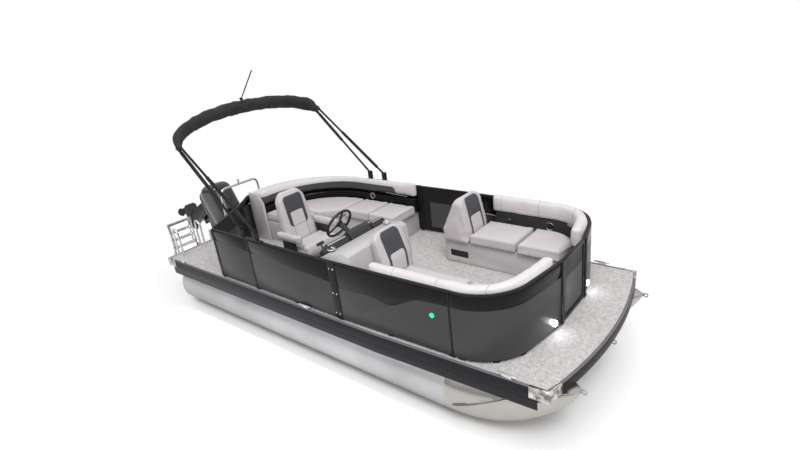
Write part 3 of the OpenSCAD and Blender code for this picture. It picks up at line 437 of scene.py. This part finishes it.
def vinyl(name, colour, panels=(), seams=(), front=None):
    """Vinyl with sewn-in panels, each (first axis, middle, half width, second axis,
    middle, half width, corner radius, colour, slope if any), and straight seams (axis,
    place). The panels are only on the front when front gives a leaning plane (x, z, lean)."""
    made = Finish(name, colour, 0.46)
    crease = made.noise(7, 4)
    shade = made.blend(crease, tuple(c * 0.86 for c in colour), colour)
    grooves, side = [], 1
    if front:
        x, z, lean = front
        side = (made.axis("X") - x - (made.axis("Z") - z) * lean).above(0.0, 0.01)
    for a, a_mid, a_half, b, b_mid, b_half, corner, tint, *slope in panels:
        edge = made.rounded_box(a, a_mid, a_half, b, b_mid, b_half, corner, *slope)
        shade = made.blend((1 - edge.above(0.0, 0.003)) * side, shade, tint)
        grooves.append((1 - edge.size().above(0.004, 0.004)) * side)
    for axis, place in seams:
        grooves.append(1 - (made.axis(axis) - place).size().above(0.003, 0.004))
    groove = sum(grooves)
    made.set("Base Color", made.blend(groove * 0.55, shade, SEAM_DARK))
    made.set("Roughness", 0.38 + crease * 0.16)
    made.bump(made.cells(340.0) * 0.5 + made.noise(60, 3) * 0.5 - groove * 4, 0.22, 0.001)
    return made


keep("vinyl_light", vinyl("light_vinyl", LIGHT))
keep("vinyl_charcoal", vinyl("charcoal_vinyl", CHARCOAL))

canvas = Finish("boot_canvas", (0.02, 0.02, 0.022), 0.85)
thread, weft = (canvas.threads(letter, 260.0) for letter in "XZ")
fade = canvas.noise(5, 4)
canvas.set("Base Color", canvas.blend(fade, (0.012, 0.012, 0.014), (0.04, 0.04, 0.044)))
canvas.set("Roughness", 0.75 + fade * 0.15)
canvas.bump(thread * weft, 0.35, 0.0006)
keep("canvas", canvas)

# %% [markdown]
# ## Put the finishes on the CAD pieces
# A piece whose shape is already right keeps its mesh and only changes its material.

# %% Paint the frame
for name, node in nodes.items():
    node.data.materials.clear()
    node.data.materials.append(finishes[slot_of_node[name]])
print("painted", len(nodes), "nodes")


# %% [markdown]
# ## Working tools
# Operators act on what is selected, so one helper selects a single object and nothing
# else. A second copies a CAD piece and welds its loose triangles into clean faces.

# %% Tools
SMOOTH_ANGLE = 35
WELD = 0.00002


def only(*objects):
    bpy.ops.object.select_all(action="DESELECT")
    for o in objects:
        o.select_set(True)
    bpy.context.view_layer.objects.active = objects[0]
    return objects[0]


def edit_all(*steps):
    """Runs steps in edit mode on everything in the active object."""
    bpy.ops.object.mode_set(mode="EDIT")
    bpy.ops.mesh.select_all(action="SELECT")
    for step in steps:
        step()
    bpy.ops.object.mode_set(mode="OBJECT")


def added(name, operator, **settings):
    """A new primitive, alone in the selection."""
    bpy.ops.object.select_all(action="DESELECT")
    operator(**settings)
    bpy.context.object.name = name
    return bpy.context.object


def twin(source, name):
    """A copy with a mesh of its own."""
    made = bpy.data.objects.new(name, source.data.copy())
    bpy.context.scene.collection.objects.link(made)
    return only(made)


def copy_of(node, name):
    made = twin(nodes[node], name)
    made.data.name = name
    edit_all(lambda: bpy.ops.mesh.remove_doubles(threshold=WELD),
             lambda: bpy.ops.mesh.normals_make_consistent(inside=False))
    return made


def dress(piece, body, slot, material=None):
    """Material and body of a finished piece; with no material given, the slot's finish."""
    piece.data.materials.clear()
    piece.data.materials.append(material or finishes[slot])
    piece.data.name = piece.name
    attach(piece, body)
    return piece


def apply_all(piece):
    only(piece)
    for modifier in list(piece.modifiers):
        bpy.ops.object.modifier_apply(modifier=modifier.name)
    return piece


def select_faces(piece, chosen):
    """Leaves edit mode on, with only the faces selected whose normal is chosen."""
    bpy.ops.object.mode_set(mode="EDIT")
    bpy.ops.mesh.select_all(action="DESELECT")
    shape = bmesh.from_edit_mesh(piece.data)
    for face in shape.faces:
        face.select = chosen(face.normal)
    bmesh.update_edit_mesh(piece.data)


def relax(piece, repeat, draw_in=0.0):
    """Smooths a surface, and then draws it in along its normals."""
    steps = [lambda: bpy.ops.mesh.vertices_smooth(factor=0.5, repeat=repeat)]
    if draw_in:
        steps.append(lambda: bpy.ops.transform.shrink_fatten(value=-draw_in))
    only(piece)
    edit_all(*steps)


def subdivide(piece):
    """One more level of faces, smoothly shaded."""
    finer = piece.modifiers.new("finer", "SUBSURF")
    finer.levels = finer.render_levels = 1
    apply_all(piece)
    bpy.ops.object.shade_smooth()


def round_edges(piece, width, segments=2, angle=32):
    bevel = piece.modifiers.new("round", "BEVEL")
    bevel.width, bevel.segments = width, segments
    bevel.limit_method, bevel.angle_limit = "ANGLE", math.radians(angle)
    bevel.use_clamp_overlap = True
    bevel.harden_normals = False
    apply_all(piece)
    bpy.ops.object.shade_smooth_by_angle(angle=math.radians(SMOOTH_ANGLE))
    return piece


# %% [markdown]
# ## Hard parts with softened edges
# Real mouldings, castings and welded frames have no knife edges. Each part below is a
# copy of its CAD piece whose flat faces are joined up and whose corners get a small
# bevel, so that they catch the light.

# %% Softened copies
EDGE_WIDTHS = {
    "nose_cones": 0.002, "tow_eyes": 0.003, "motor_pod": 0.012, "rub_rail": 0.007,
    "skirt": 0.0015, "corner_caps": 0.006, "cleats": 0.004, "fence_starboard": 0.004,
    "fence_port": 0.004, "fence_bow": 0.004, "fence_stern": 0.004, "panels_lower": 0.0015,
    "panels_upper": 0.0015, "bow_gate": 0.003, "side_gate": 0.003, "stern_gate": 0.003,
    "console": 0.022, "dash": 0.010, "throttle": 0.004, "chair_pedestal": 0.003,
    "chair_frame": 0.010, "lounge_base": 0.014, "bow_bases": 0.014, "bow_liners": 0.006,
    "bimini_brackets": 0.002, "bimini_arms": 0.002, "light_mast": 0.002,
    "tow_bar": 0.003, "motor_bracket": 0.004, "motor_swivel": 0.004,
    "motor_leg": 0.008, "propeller": 0.002, "cross_members": 0.002,
    "tube_port": 0.003, "tube_starboard": 0.003, "tube_centre": 0.003,
    "steering_wheel": 0.003, "ladder": 0.003, "grab_rails": 0.002,
}
softened = {}
for name, width in EDGE_WIDTHS.items():
    piece = copy_of(name, name + "_finished")
    edit_all(lambda: bpy.ops.mesh.dissolve_limited(angle_limit=math.radians(0.4)))
    round_edges(piece, width)
    dress(piece, body_of_node[name], slot_of_node[name])
    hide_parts(name)
    softened[name] = piece
print("softened", len(softened), "pieces,",
      sum(len(p.data.polygons) for p in softened.values()), "faces")

# %% [markdown]
# ## Cushions
# A cushion is a closed cover over foam: it bulges in the middle of each face and pulls in
# at its seams. Each soft CAD solid is copied, drawn in a little, remeshed evenly, and
# blown up by the Cloth modifier's pressure with no gravity. A cap on how far a point may
# move keeps cushions clear of each other, and the underside stays flat where it rests.

# %% Soft solids
SOFT_NODES = ["chair_cushions", "lounge_seats", "lounge_back", "bow_seats",
              "bow_backrests", "bow_bolsters"]


def loose_parts(node, name):
    """The node's separate solids as objects, sorted along the boat."""
    whole = copy_of(node, name)
    edit_all(lambda: bpy.ops.mesh.separate(type="LOOSE"))
    parts = list(bpy.context.selected_objects)
    parts.sort(key=lambda o: tuple(round(c, 3) for c in middle(o)))
    for i, part in enumerate(parts):
        part.name = f"{name}_{i + 1}"
    return parts


def corners(o):
    points = [v.co for v in o.data.vertices]
    low = Vector([min(p[i] for p in points) for i in range(3)])
    high = Vector([max(p[i] for p in points) for i in range(3)])
    return low, high


def middle(o):
    low, high = corners(o)
    return (low + high) / 2


def area(o):
    return sum(p.area for p in o.data.polygons)


pads = {}
for node in SOFT_NODES:
    for part in loose_parts(node, node.rstrip("s") + "_pad"):
        pads[part.name] = (part, node)
print("pads", {n: round(area(p), 2) for n, (p, _) in pads.items()})

# %% Even mesh, drawn in
FACES_PER_PAD = 3600
FINEST, COARSEST = 0.009, 0.022
DRAW_IN = 0.006


def remesh(piece, size):
    piece.data.remesh_voxel_size = size
    piece.data.use_remesh_preserve_volume = False
    only(piece)
    bpy.ops.object.voxel_remesh()
    return piece


for pad, _ in pads.values():
    remesh(pad, max(FINEST, min(COARSEST, math.sqrt(area(pad) / FACES_PER_PAD))))
    relax(pad, 3, DRAW_IN)
print("remeshed", {n: len(p.data.polygons) for n, (p, _) in pads.items()})


# %% Shape the backs
def taper(pad, shrink, crown):
    """Narrows a back towards its top and rounds its top corners."""
    low, high = corners(pad)
    mid = (low.y + high.y) / 2
    for vertex in pad.data.vertices:
        up = (vertex.co.z - low.z) / (high.z - low.z)
        near_top = max(0.0, (up - (1 - crown)) / crown)
        wide = (1 - shrink * up ** 1.6) * math.sqrt(1 - 0.62 * near_top ** 2.2)
        vertex.co.y = mid + (vertex.co.y - mid) * wide


chair_parts = sorted((p for p, n in pads.values() if n == "chair_cushions"),
                     key=lambda o: middle(o).z)
chair_seat, chair_back = chair_parts[0], chair_parts[-1]
taper(chair_back, 0.26, 0.20)
backrests = [p for p, n in pads.values() if n == "bow_backrests"]
for pad in backrests:
    taper(pad, 0.10, 0.16)
for pad, node in pads.values():
    if node in ("bow_bolsters", "lounge_back") and corners(pad)[1].z > at(0, 0, 700).z:
        relax(pad, 14)
print("shaped", len(backrests) + 1, "backs")


# %% Blow them up together
PRESSURE = 4.0
STEPS = 20


def cloth(piece):
    low, _ = corners(piece)
    foot = piece.vertex_groups.new(name="foot")
    foot.add([v.index for v in piece.data.vertices if v.co.z < low.z + 0.004], 1.0, "REPLACE")
    made = piece.modifiers.new("puff", "CLOTH")
    made.settings.use_pressure = True
    made.settings.uniform_pressure_force = PRESSURE
    made.settings.effector_weights.gravity = 0
    made.settings.vertex_group_mass = "foot"
    made.settings.quality = 4
    made.settings.mass = 0.4
    made.settings.tension_stiffness = 12
    made.settings.compression_stiffness = 12
    made.settings.bending_stiffness = 0.4
    made.point_cache.frame_start, made.point_cache.frame_end = 1, STEPS


def settle(pieces, cap):
    """Runs the cloth on pieces, limits each point's travel, and keeps the shape."""
    start = {p.name: [v.co.copy() for v in p.data.vertices] for p in pieces}
    for frame_number in range(1, STEPS + 1):
        bpy.context.scene.frame_set(frame_number)
    for p in pieces:
        apply_all(p)
        for vertex, rest in zip(p.data.vertices, start[p.name]):
            move = vertex.co - rest
            if move.length > cap:
                vertex.co = rest + move * (cap / move.length)
        p.vertex_groups.clear()
    bpy.context.scene.frame_set(1)


CAP = 0.014
soft = [p for p, _ in pads.values()]
for pad in soft:
    cloth(pad)
settle(soft, CAP)
for pad in soft:
    relax(pad, 2)
    subdivide(pad)
print("puffed", len(soft), "pads,", sum(len(p.data.polygons) for p in soft), "faces")


# %% Covers with sewn panels
def drawn(pad, up_from, up_to, half, corner, tint):
    """A sewn panel on a back that faces along the boat, sized from the pad."""
    low, high = corners(pad)
    z0, z1 = (low.z + (high.z - low.z) * t for t in (up_from, up_to))
    return ("Y", (low.y + high.y) / 2, half, "Z", (z0 + z1) / 2, (z1 - z0) / 2, corner, tint)


covers = {chair_back.name: vinyl("chair_back_vinyl", LIGHT, [
    drawn(chair_back, 0.42, 0.93, 0.150, 0.05, CHARCOAL),
    drawn(chair_back, -0.1, 0.66, 0.105, 0.03, LIGHT)],
    front=(at(2393, 0, 0).x, at(0, 0, 800).z, -0.136)).material}
for pad in backrests:
    lean = (4214, 0.05) if middle(pad).y > 0 else (4065, -0.15)
    covers[pad.name] = vinyl(pad.name + "_vinyl", LIGHT, [
        drawn(pad, 0.12, 0.97, 0.150, 0.06, CHARCOAL),
        drawn(pad, 0.05, 0.56, 0.120, 0.04, LIGHT)],
        front=(at(lean[0], 0, 0).x, at(0, 0, 700).z, lean[1])).material
# The bolsters and the stern roll take the painted-lit copy of the light vinyl.
bolster = vinyl("bolster_vinyl", PAINTED_LIT_LIGHT, seams=[("X", at(x, 0, 0).x) for x in
                                                (4560, 5080, 5560)]).material
roll_edge = at(0, 0, 700).z
roll = vinyl("lounge_roll_vinyl", PAINTED_LIT_LIGHT, [
    ("X", at(1700, 0, 0).x, 1.05, "Z", roll_edge - 0.20, 0.20, 0.06, CHARCOAL)]).material
for name, (pad, node) in pads.items():
    lower = node == "lounge_back" and corners(pad)[1].z < at(0, 0, 600).z
    if node == "lounge_back" and not lower:
        covers[name] = roll
    if node == "bow_bolsters":
        covers[name] = bolster
    dress(pad, body_of_node[node], "panel_black" if lower else slot_of_node[node],
          covers.get(name))
    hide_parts(node)
print("covered", len(pads))

# %% [markdown]
# ## Piping
# Covers are sewn from a top and a side band, and a thin welt stands proud where they
# meet. A plane cuts the finished pad, the cut's outline becomes a curve, and a round
# bevel turns that into the welt, so it follows every bulge.


# %% Piping
def outline_of(pad, point, normal, name):
    """The closed line where a plane cuts a pad, as a mesh of edges."""
    cut = twin(pad, name)
    cut.data.materials.clear()
    bpy.ops.object.mode_set(mode="EDIT")
    bpy.ops.mesh.select_all(action="SELECT")
    bpy.ops.mesh.bisect(plane_co=point, plane_no=normal)
    bpy.ops.mesh.select_all(action="INVERT")
    bpy.ops.mesh.delete(type="VERT")
    bpy.ops.mesh.select_all(action="SELECT")
    bpy.ops.mesh.remove_doubles(threshold=0.004)
    bpy.ops.object.mode_set(mode="OBJECT")
    return cut


def piping(pad, point, normal, name, radius=0.0035, slot="vinyl_light"):
    cut = outline_of(pad, point, normal, name)
    if not cut.data.edges:
        bpy.data.objects.remove(cut)
        return None
    only(cut)
    bpy.ops.object.convert(target="CURVE")
    cut = bpy.context.object
    cut.data.bevel_depth, cut.data.bevel_resolution = radius, 1
    bpy.ops.object.convert(target="MESH")
    cut = bpy.context.object
    cut.name = name
    bpy.ops.object.shade_smooth()
    return dress(cut, pad["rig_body"], slot)


SEAM_DROP = 0.030
welts = []
for name, (pad, node) in pads.items():
    if node in ("lounge_seats", "bow_seats") or pad is chair_seat:
        top = corners(pad)[1].z
        welts.append(piping(pad, (0, 0, top - SEAM_DROP), (0, 0, 1), name + "_welt"))
    if node == "bow_bolsters":
        welts.append(piping(pad, (0, 0, at(0, 0, 655).z), (0, 0, 1), name + "_welt"))
print("welts", len([w for w in welts if w]))

# %% [markdown]
# ## Boot over the folded top
# The folded canvas top is packed in a long boot that sags between its straps. It is made
# like a cushion, with a coarser mesh and soft wrinkles added by displacement.

# %% Boot
boot = copy_of("bimini_boot", "boot_cover")
remesh(boot, COARSEST)
relax(boot, 2, 0.012)
cloth(boot)
settle([boot], 0.018)
folds = bpy.data.textures.new("folds", "CLOUDS")
folds.noise_scale = 0.16
folds.noise_depth = 3
wrinkle = boot.modifiers.new("wrinkle", "DISPLACE")
wrinkle.texture, wrinkle.strength, wrinkle.mid_level = folds, 0.028, 0.6
subdivide(boot)
dress(boot, "bimini", "canvas")
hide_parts("bimini_boot")
print("boot", len(boot.data.polygons), "faces")


# %% [markdown]
# ## Straps round the boot
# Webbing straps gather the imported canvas. Each is a thin slice of the boot itself, cut by
# two planes and thickened outwards, so it hugs the folds.

# %% Straps
BOOT_FOOT = at(2300, 0, 840)
SLOPE = math.radians(41)
arm_way = Vector((-math.cos(SLOPE), 0, math.sin(SLOPE)))
arm_up = Vector((math.sin(SLOPE), 0, math.cos(SLOPE)))


def aim(direction, place):
    """Stands a piece made along Z at a place, along a direction."""
    turn = Vector(direction).to_track_quat("Z", "Y").to_matrix().to_4x4()
    return Matrix.Translation(place) @ turn


def slice_of(source, point, normal, width, thickness, name, slot, body):
    """A belt of a pad's surface between two parallel planes, thickened outwards."""
    belt = twin(source, name)
    normal, point = Vector(normal).normalized(), Vector(point)
    bpy.ops.object.mode_set(mode="EDIT")
    for side in (1, -1):
        bpy.ops.mesh.select_all(action="SELECT")
        bpy.ops.mesh.bisect(plane_co=point + normal * side * width / 2,
                            plane_no=normal * side, clear_outer=True)
    bpy.ops.object.mode_set(mode="OBJECT")
    solid = belt.modifiers.new("thick", "SOLIDIFY")
    solid.thickness, solid.offset = thickness, 1.0
    apply_all(belt)
    bpy.ops.object.shade_smooth()
    return dress(belt, body, slot)


for i, (y, skew) in enumerate(((-760, 0.25), (-60, 0), (640, -0.25))):
    slice_of(boot, at(800, y, 2000), (skew, 1, 0), 0.045, 0.004, f"boot_strap_{i + 1}",
             "canvas", "bimini")
piping(boot, BOOT_FOOT, arm_up, "boot_zip", 0.005, "canvas")
for i, (side, up_by) in enumerate((a, b) for a in (-1, 1) for b in (-0.034, 0.034)):
    spot = BOOT_FOOT + Vector((0, side * 1.235, 0)) + arm_way * 1.488 + arm_up * up_by
    cuff = added(f"boot_cuff_{i + 1}", bpy.ops.mesh.primitive_cone_add, vertices=32,
                 radius1=0.021, radius2=0.029, depth=0.075)
    round_edges(cuff, 0.003, 3)
    cuff.data.transform(aim(arm_way, spot))
    dress(cuff, "bimini", "canvas")
print("straps on the boot")

# %% [markdown]
# ## Turned fittings
# Speakers, cup holders and bolt heads are all turned shapes. Each starts as a cylinder
# whose end face is inset and moved, step by step, like cutting on a lathe.


# %% Lathe tool
def turned(name, radius, depth, steps, place, direction, slot, sides=40):
    """A disc whose front face is inset and moved by each of steps, facing direction."""
    made = added(name, bpy.ops.mesh.primitive_cylinder_add, vertices=sides, radius=radius,
                 depth=depth)
    select_faces(made, lambda normal: normal.z > 0.9)
    for inset, move in steps:
        bpy.ops.mesh.inset(thickness=inset, depth=0)
        bpy.ops.transform.translate(value=(0, 0, move))
    bpy.ops.object.mode_set(mode="OBJECT")
    round_edges(made, min(0.0012, depth / 5), 2, 25)
    made.data.transform(aim(direction, place))
    return dress(made, "boat", slot)


RING = [(0.004, 0.003), (0.004, -0.003), (0.010, -0.004), (0.012, 0.003), (0.008, 0.002)]
DOME = [(0.006, -0.004), (0.012, 0.004)]
for name, x, y, z, facing, ring, dome in (
        ("lounge_speaker", 2270, 1106, 505, (0, -1, 0), 0.050, 0.036),
        ("bow_speaker", 5190, 1131, 440, (0.03, -1, 0), 0.056, 0.038)):
    turned(name, ring, 0.012, RING, at(x, y, z), facing, "chrome")
    turned(name + "_cone", dome, 0.016, DOME, at(x, y - 1, z), facing, "dash_black")
CUP = [(0.006, 0.002), (0.004, -0.002), (0.002, -0.008)]
for i, (x, y, z) in enumerate(((3700, -1150, 812), (3780, -300, 818))):
    turned(f"cup_holder_{i + 1}", 0.046, 0.010, CUP, at(x, y, z + 9), (0, 0, 1), "chrome")
print("speakers and cup holders")

# %% Bolt heads on the double post
for i, (x, z) in enumerate((x, z) for x in (3732, 3788) for z in (90, 340, 640)):
    turned(f"post_bolt_{i + 1}", 0.009, 0.007, [(0.002, 0.002), (0.003, 0.001)],
           at(x, -1261, z), (0, -1, 0), "chrome", sides=16)
print("bolts")

# %% [markdown]
# ## Lamps
# The navigation lamps are green to starboard and red to port, and two docking lamps face
# forward. Each is its CAD shape with rounded edges and a glowing, rippled lens.

# %% Lamps
GREEN, RED, WHITE = (0.01, 0.55, 0.25), (0.7, 0.02, 0.02), (0.95, 0.97, 1.0)


def glowing(name, colour, strength):
    made = Finish(name, colour, 0.15, emission_color=(*colour, 1.0),
                  emission_strength=strength)
    made.bump(made.cells(220.0), 0.4, 0.001)
    return made.material


lamps = loose_parts("lights", "lamp")
for i, lamp in enumerate(lamps):
    place = middle(lamp)
    ahead = place.x > at(5500, 0, 0).x
    colour = WHITE if ahead else GREEN if place.y < 0 else RED
    round_edges(lamp, 0.004)
    dress(lamp, "boat", "lamp", glowing(f"lamp_{i + 1}_glow", colour, 30 if ahead else 0.9))
    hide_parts("lights")
print("lamps", len(lamps))


# %% [markdown]
# ## Light strips under the deck
# A waterproof strip of lamps runs under each side of the deck and lights the tubes. It is
# a long thin bar whose lower edge is narrowed, with a glowing finish.

# %% Light strips
def bar(name, low, high, slot, body, width=0.003, material=None, narrow=0.8):
    """A straight bar between two corners, its lower face narrowed across the boat."""
    made = added(name, bpy.ops.mesh.primitive_cube_add, size=1, location=(low + high) / 2,
                 scale=high - low)
    bpy.ops.object.transform_apply(location=True, rotation=True, scale=True)
    select_faces(made, lambda normal: normal.z < -0.9)
    bpy.ops.transform.resize(value=(1, narrow, 1), center_override=(low + high) / 2)
    bpy.ops.object.mode_set(mode="OBJECT")
    round_edges(made, width)
    return dress(made, body, slot, material)


strip_glow = glowing("strip_glow", WHITE, 30.0)
for side in (-1, 1):
    for i, (x0, x1) in enumerate(((500, 2600), (2640, 4700))):
        y = side * 1236
        low = at(x0, min(y, y - side * 12), -240)
        high = at(x1, max(y, y - side * 12), -229)
        name = f"light_strip_{'port' if side > 0 else 'starboard'}_{i + 1}"
        bar(name, low, high, "lamp", "boat", 0.002, strip_glow)
print("light strips")

# %% [markdown]
# ## Helm screens
# Three screens stand in the dash pods. Each is a shallow frame round a glass face, tilted
# with the pod's upper face, with a soft grey picture. Two have a visor of the same make on
# the pod's forward slope.

# %% Screens
glass = Finish("screen_glass", (0.20, 0.21, 0.23), 0.08)
glass.set("Base Color", glass.blend(glass.noise(3, 2), (0.16, 0.17, 0.19), (0.42, 0.44, 0.48)))
glass.set("Roughness", 0.06 + glass.noise(30, 2) * 0.05)


def pod_matrix(y, low, high):
    """Frame on a pod's upper face: low and high are its ends on the pod's drawing."""
    turn = math.atan2(90, 160)
    start, end = (at(3540, y, 700) + Vector((
        x * math.cos(turn) - z * math.sin(turn), 0,
        x * math.sin(turn) + z * math.cos(turn))) / 1000 for x, z in (low, high))
    along = (end - start).normalized()
    normal = along.cross(Vector((0, -1, 0))).normalized()
    if normal.z < 0:
        normal = -normal
    side_axis = normal.cross(along)
    turn_matrix = Matrix((along, side_axis, normal)).transposed().to_4x4()
    return Matrix.Translation((start + end) / 2) @ turn_matrix, (end - start).length


def screen(name, y, width, low, high):
    place, length = pod_matrix(y, low, high)
    for part, grow, lift, material in (("frame", 0.0, 0.003, None),
                                       ("glass", -0.014, 0.006, glass.material)):
        made = added(f"{name}_{part}", bpy.ops.mesh.primitive_cube_add, size=1,
                     scale=(length * 0.86 + grow, width + grow, 0.01))
        bpy.ops.object.transform_apply(location=True, rotation=True, scale=True)
        round_edges(made, 0.003, 3)
        made.data.transform(place @ Matrix.Translation((0, 0, lift)))
        dress(made, "boat", "dash_black", material)


screen("chart_screen", -1010, 0.26, (6, 56), (144, 92))
screen("engine_screen", -330, 0.17, (12, 44), (148, 80))
screen("gauge_screen", -645, 0.12, (6, 84), (150, 122))
screen("chart_visor", -1010, 0.29, (147, 90), (175, 55))
screen("engine_visor", -330, 0.19, (151, 78), (173, 51))
print("screens")

# %% [markdown]
# ## Arm pads
# The helm chair's arms are padded in the same vinyl as its back. Each starts as a bar
# with rounded edges over the CAD arm, and is puffed up like the cushions.

# %% Arm pads
arms = []
for side in (-1, 1):
    y = -560 + side * 315
    arm = bar(f"arm_pad_{'port' if side > 0 else 'starboard'}", at(2396, y - 43, 592),
              at(2838, y + 43, 694), "vinyl_light", "helm_chair", 0.022, narrow=0.86)
    remesh(arm, FINEST)
    arms.append(arm)
for arm in arms:
    cloth(arm)
settle(arms, 0.005)
for arm in arms:
    relax(arm, 3)
    subdivide(arm)
print("arm pads", len(arms))

# %% [markdown]
# ## Ladder treads, handles and vent
# Each rung carries a black tread, the bow gate has a pull handle, and the chaise has a
# handle and a louvred vent in its base. Each is a rounded bar, or a row of them.

# %% Treads, handles and vent
for i, z in enumerate((70, 200, 330, 460)):
    bar(f"tread_{i + 1}", at(-108, -1095, z - 14), at(-92, -785, z + 14), "wheel_black",
        "ladder", 0.004, narrow=0.95)
bar("bow_gate_handle", at(5858, 180, 690), at(5874, 330, 706), "chrome", "bow_gate", 0.004)
bar("vent_back", at(4090, 541, 91), at(4348, 546, 181), "dash_black", "boat", 0.001,
    narrow=1.0)
for i in range(5):
    z = 96 + i * 17
    bar(f"vent_slat_{i + 1}", at(4090, 527, z), at(4348, 539, z + 9), "dash_black", "boat",
        0.002, narrow=1.0)
bar("chaise_handle", at(4636, 1110, 396), at(4662, 1134, 470), "chrome", "boat", 0.008,
    narrow=0.9)
print("treads, handles and vent")


# %% [markdown]
# ## Gate sheets, corner castings and liners
# Each gate's frame is black and its sheet is grey below and black above, so its paint is
# masked by a rounded rectangle. The deck's corners are rough castings, and the bow's side
# liners have sewn panels that slope with the rail.

# %% Gate sheets
def gate_paint(name, axis, mid, half):
    made = Finish(name, (0.014, 0.014, 0.016), 0.34, specular_ior_level=0.2)
    low, high = at(0, 0, 92).z, at(0, 0, 486).z
    edge = made.rounded_box(axis, mid, half, "Z", (low + high) / 2, (high - low) / 2, 0.008)
    inside = 1 - edge.above(0.0, 0.002)
    groove = 1 - edge.size().above(0.004, 0.004)
    made.set("Base Color", made.blend(inside, (0.013, 0.013, 0.015), (0.082, 0.083, 0.086)))
    made.set("Metallic", inside * 0.3)
    made.set("Roughness", 0.26 + made.noise(20, 3) * 0.14)
    made.bump(made.noise(420, 2) * 0.2 - groove * 3, 0.3, 0.001)
    return made.material


for name, axis, mid, half in (("bow_gate", "Y", 0.086, 0.232),
                              ("side_gate", "X", middle(softened["side_gate"]).x, 0.27),
                              ("stern_gate", "X", middle(softened["stern_gate"]).x, 0.12)):
    softened[name].data.materials[0] = gate_paint(name + "_paint", axis, mid, half)
softened["corner_caps"].data.materials[0] = casting.material
middle_x, slope = at(4880, 0, 0).x, -0.10
softened["bow_liners"].data.materials[0] = vinyl("liner_vinyl", CHARCOAL, [
    ("X", middle_x, 0.70, "Z", at(0, 0, 660).z, 0.11, 0.02, LIGHT, slope),
    ("X", middle_x, 0.54, "Z", at(0, 0, 555).z, 0.070, 0.065, CHARCOAL, slope)]).material
print("gate sheets and castings")

# %% [markdown]
# ## Motor cowl
# The cowl is one smooth moulding over the engine, with two seams where it lifts off. The
# CAD shape is remeshed, relaxed and subdivided, and each seam is a welt cut from it.

# %% Cowl
cowl = copy_of("motor_cowl", "cowl_shell")
remesh(cowl, COARSEST)
relax(cowl, 10)
subdivide(cowl)
dress(cowl, "motor", "motor_black")
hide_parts("motor_cowl")
TILT = math.radians(62)
motor_up = Vector((math.sin(TILT), 0, math.cos(TILT)))
motor_foot = at(-620, 0, 30)
for i, (up_by, thick) in enumerate(((0.24, 0.006), (0.275, 0.004))):
    piping(cowl, motor_foot + motor_up * up_by, motor_up, f"cowl_seam_{i + 1}", thick,
           "motor_metal")
print("cowl", len(cowl.data.polygons), "faces")

# %% [markdown]
# ## Floor and light
# A pale floor holds the shadow. A broad sky lights every side evenly, and one soft sun
# gives the shadows a direction. A large disc lamp over the bow brightens the near side. The
# backdrop is white to the camera and through clear parts, and metal mirrors the sky.

# %% Floor
floor = added("floor", bpy.ops.mesh.primitive_plane_add, size=120, location=(0, 0, -0.002))
ground = Finish("pale_floor", (0.86, 0.86, 0.86), 0.75)
seen = ground.node("LightPath", output="Is Camera Ray")
ground.set("Base Color", ground.blend(seen, (0.80, 0.80, 0.80), (1.0, 1.0, 1.0)))
floor.data.materials.append(ground.material)
floor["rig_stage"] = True

# %% Light
SKY, SUN, KEY = 0.80, 1.1, 130
world = bpy.data.worlds.new("studio")
bpy.context.scene.world = world
world.use_nodes = True
tree = world.node_tree
tree.nodes.clear()
output = tree.nodes.new("ShaderNodeOutputWorld")
mix = tree.nodes.new("ShaderNodeMixShader")
path = tree.nodes.new("ShaderNodeLightPath")
either = tree.nodes.new("ShaderNodeMath")
either.operation = "MAXIMUM"
tree.links.new(path.outputs["Is Camera Ray"], either.inputs[0])
tree.links.new(path.outputs["Is Transmission Ray"], either.inputs[1])
sky, backdrop = (tree.nodes.new("ShaderNodeBackground") for _ in range(2))
direction = tree.nodes.new("ShaderNodeTexCoord")
split = tree.nodes.new("ShaderNodeSeparateXYZ")
ramp = tree.nodes.new("ShaderNodeValToRGB")
horizon, overhead = ramp.color_ramp.elements
horizon.color, horizon.position = (0.30, 0.30, 0.31, 1), 0.0
overhead.color, overhead.position = (1.0, 1.0, 1.0, 1), 0.55
tree.links.new(direction.outputs["Generated"], split.inputs[0])
tree.links.new(split.outputs["Z"], ramp.inputs[0])
tree.links.new(ramp.outputs[0], sky.inputs["Color"])
sky.inputs["Strength"].default_value = SKY
backdrop.inputs["Color"].default_value = (1.0, 1.0, 1.0, 1.0)
backdrop.inputs["Strength"].default_value = 1.0
tree.links.new(either.outputs[0], mix.inputs[0])
tree.links.new(sky.outputs[0], mix.inputs[1])
tree.links.new(backdrop.outputs[0], mix.inputs[2])
tree.links.new(mix.outputs[0], output.inputs["Surface"])

bpy.ops.object.light_add(type="SUN", location=(2, -4, 8))
sun = bpy.context.object
sun.name = "sun"
sun.data.energy = SUN
sun.data.angle = math.radians(18)
sun.rotation_euler = (math.radians(32), math.radians(14), math.radians(20))

bpy.ops.object.light_add(type="AREA", location=(4.6, -2.2, 6.6))
key = bpy.context.object
key.name = "key"
key.data.shape, key.data.size, key.data.energy = "DISK", 5.0, KEY
aim_down = Vector((1.6, 0.2, 1.0)) - key.location
key.rotation_euler = aim_down.to_track_quat("-Z", "Y").to_euler()
bpy.context.scene.view_settings.view_transform = "Standard"
print("lit")

# %% [markdown]
# ## Sizes
# The last step prints the finished box.

# %% Finish
low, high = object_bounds()
print("visual box", [round(v, 3) for v in (*low, *high)])
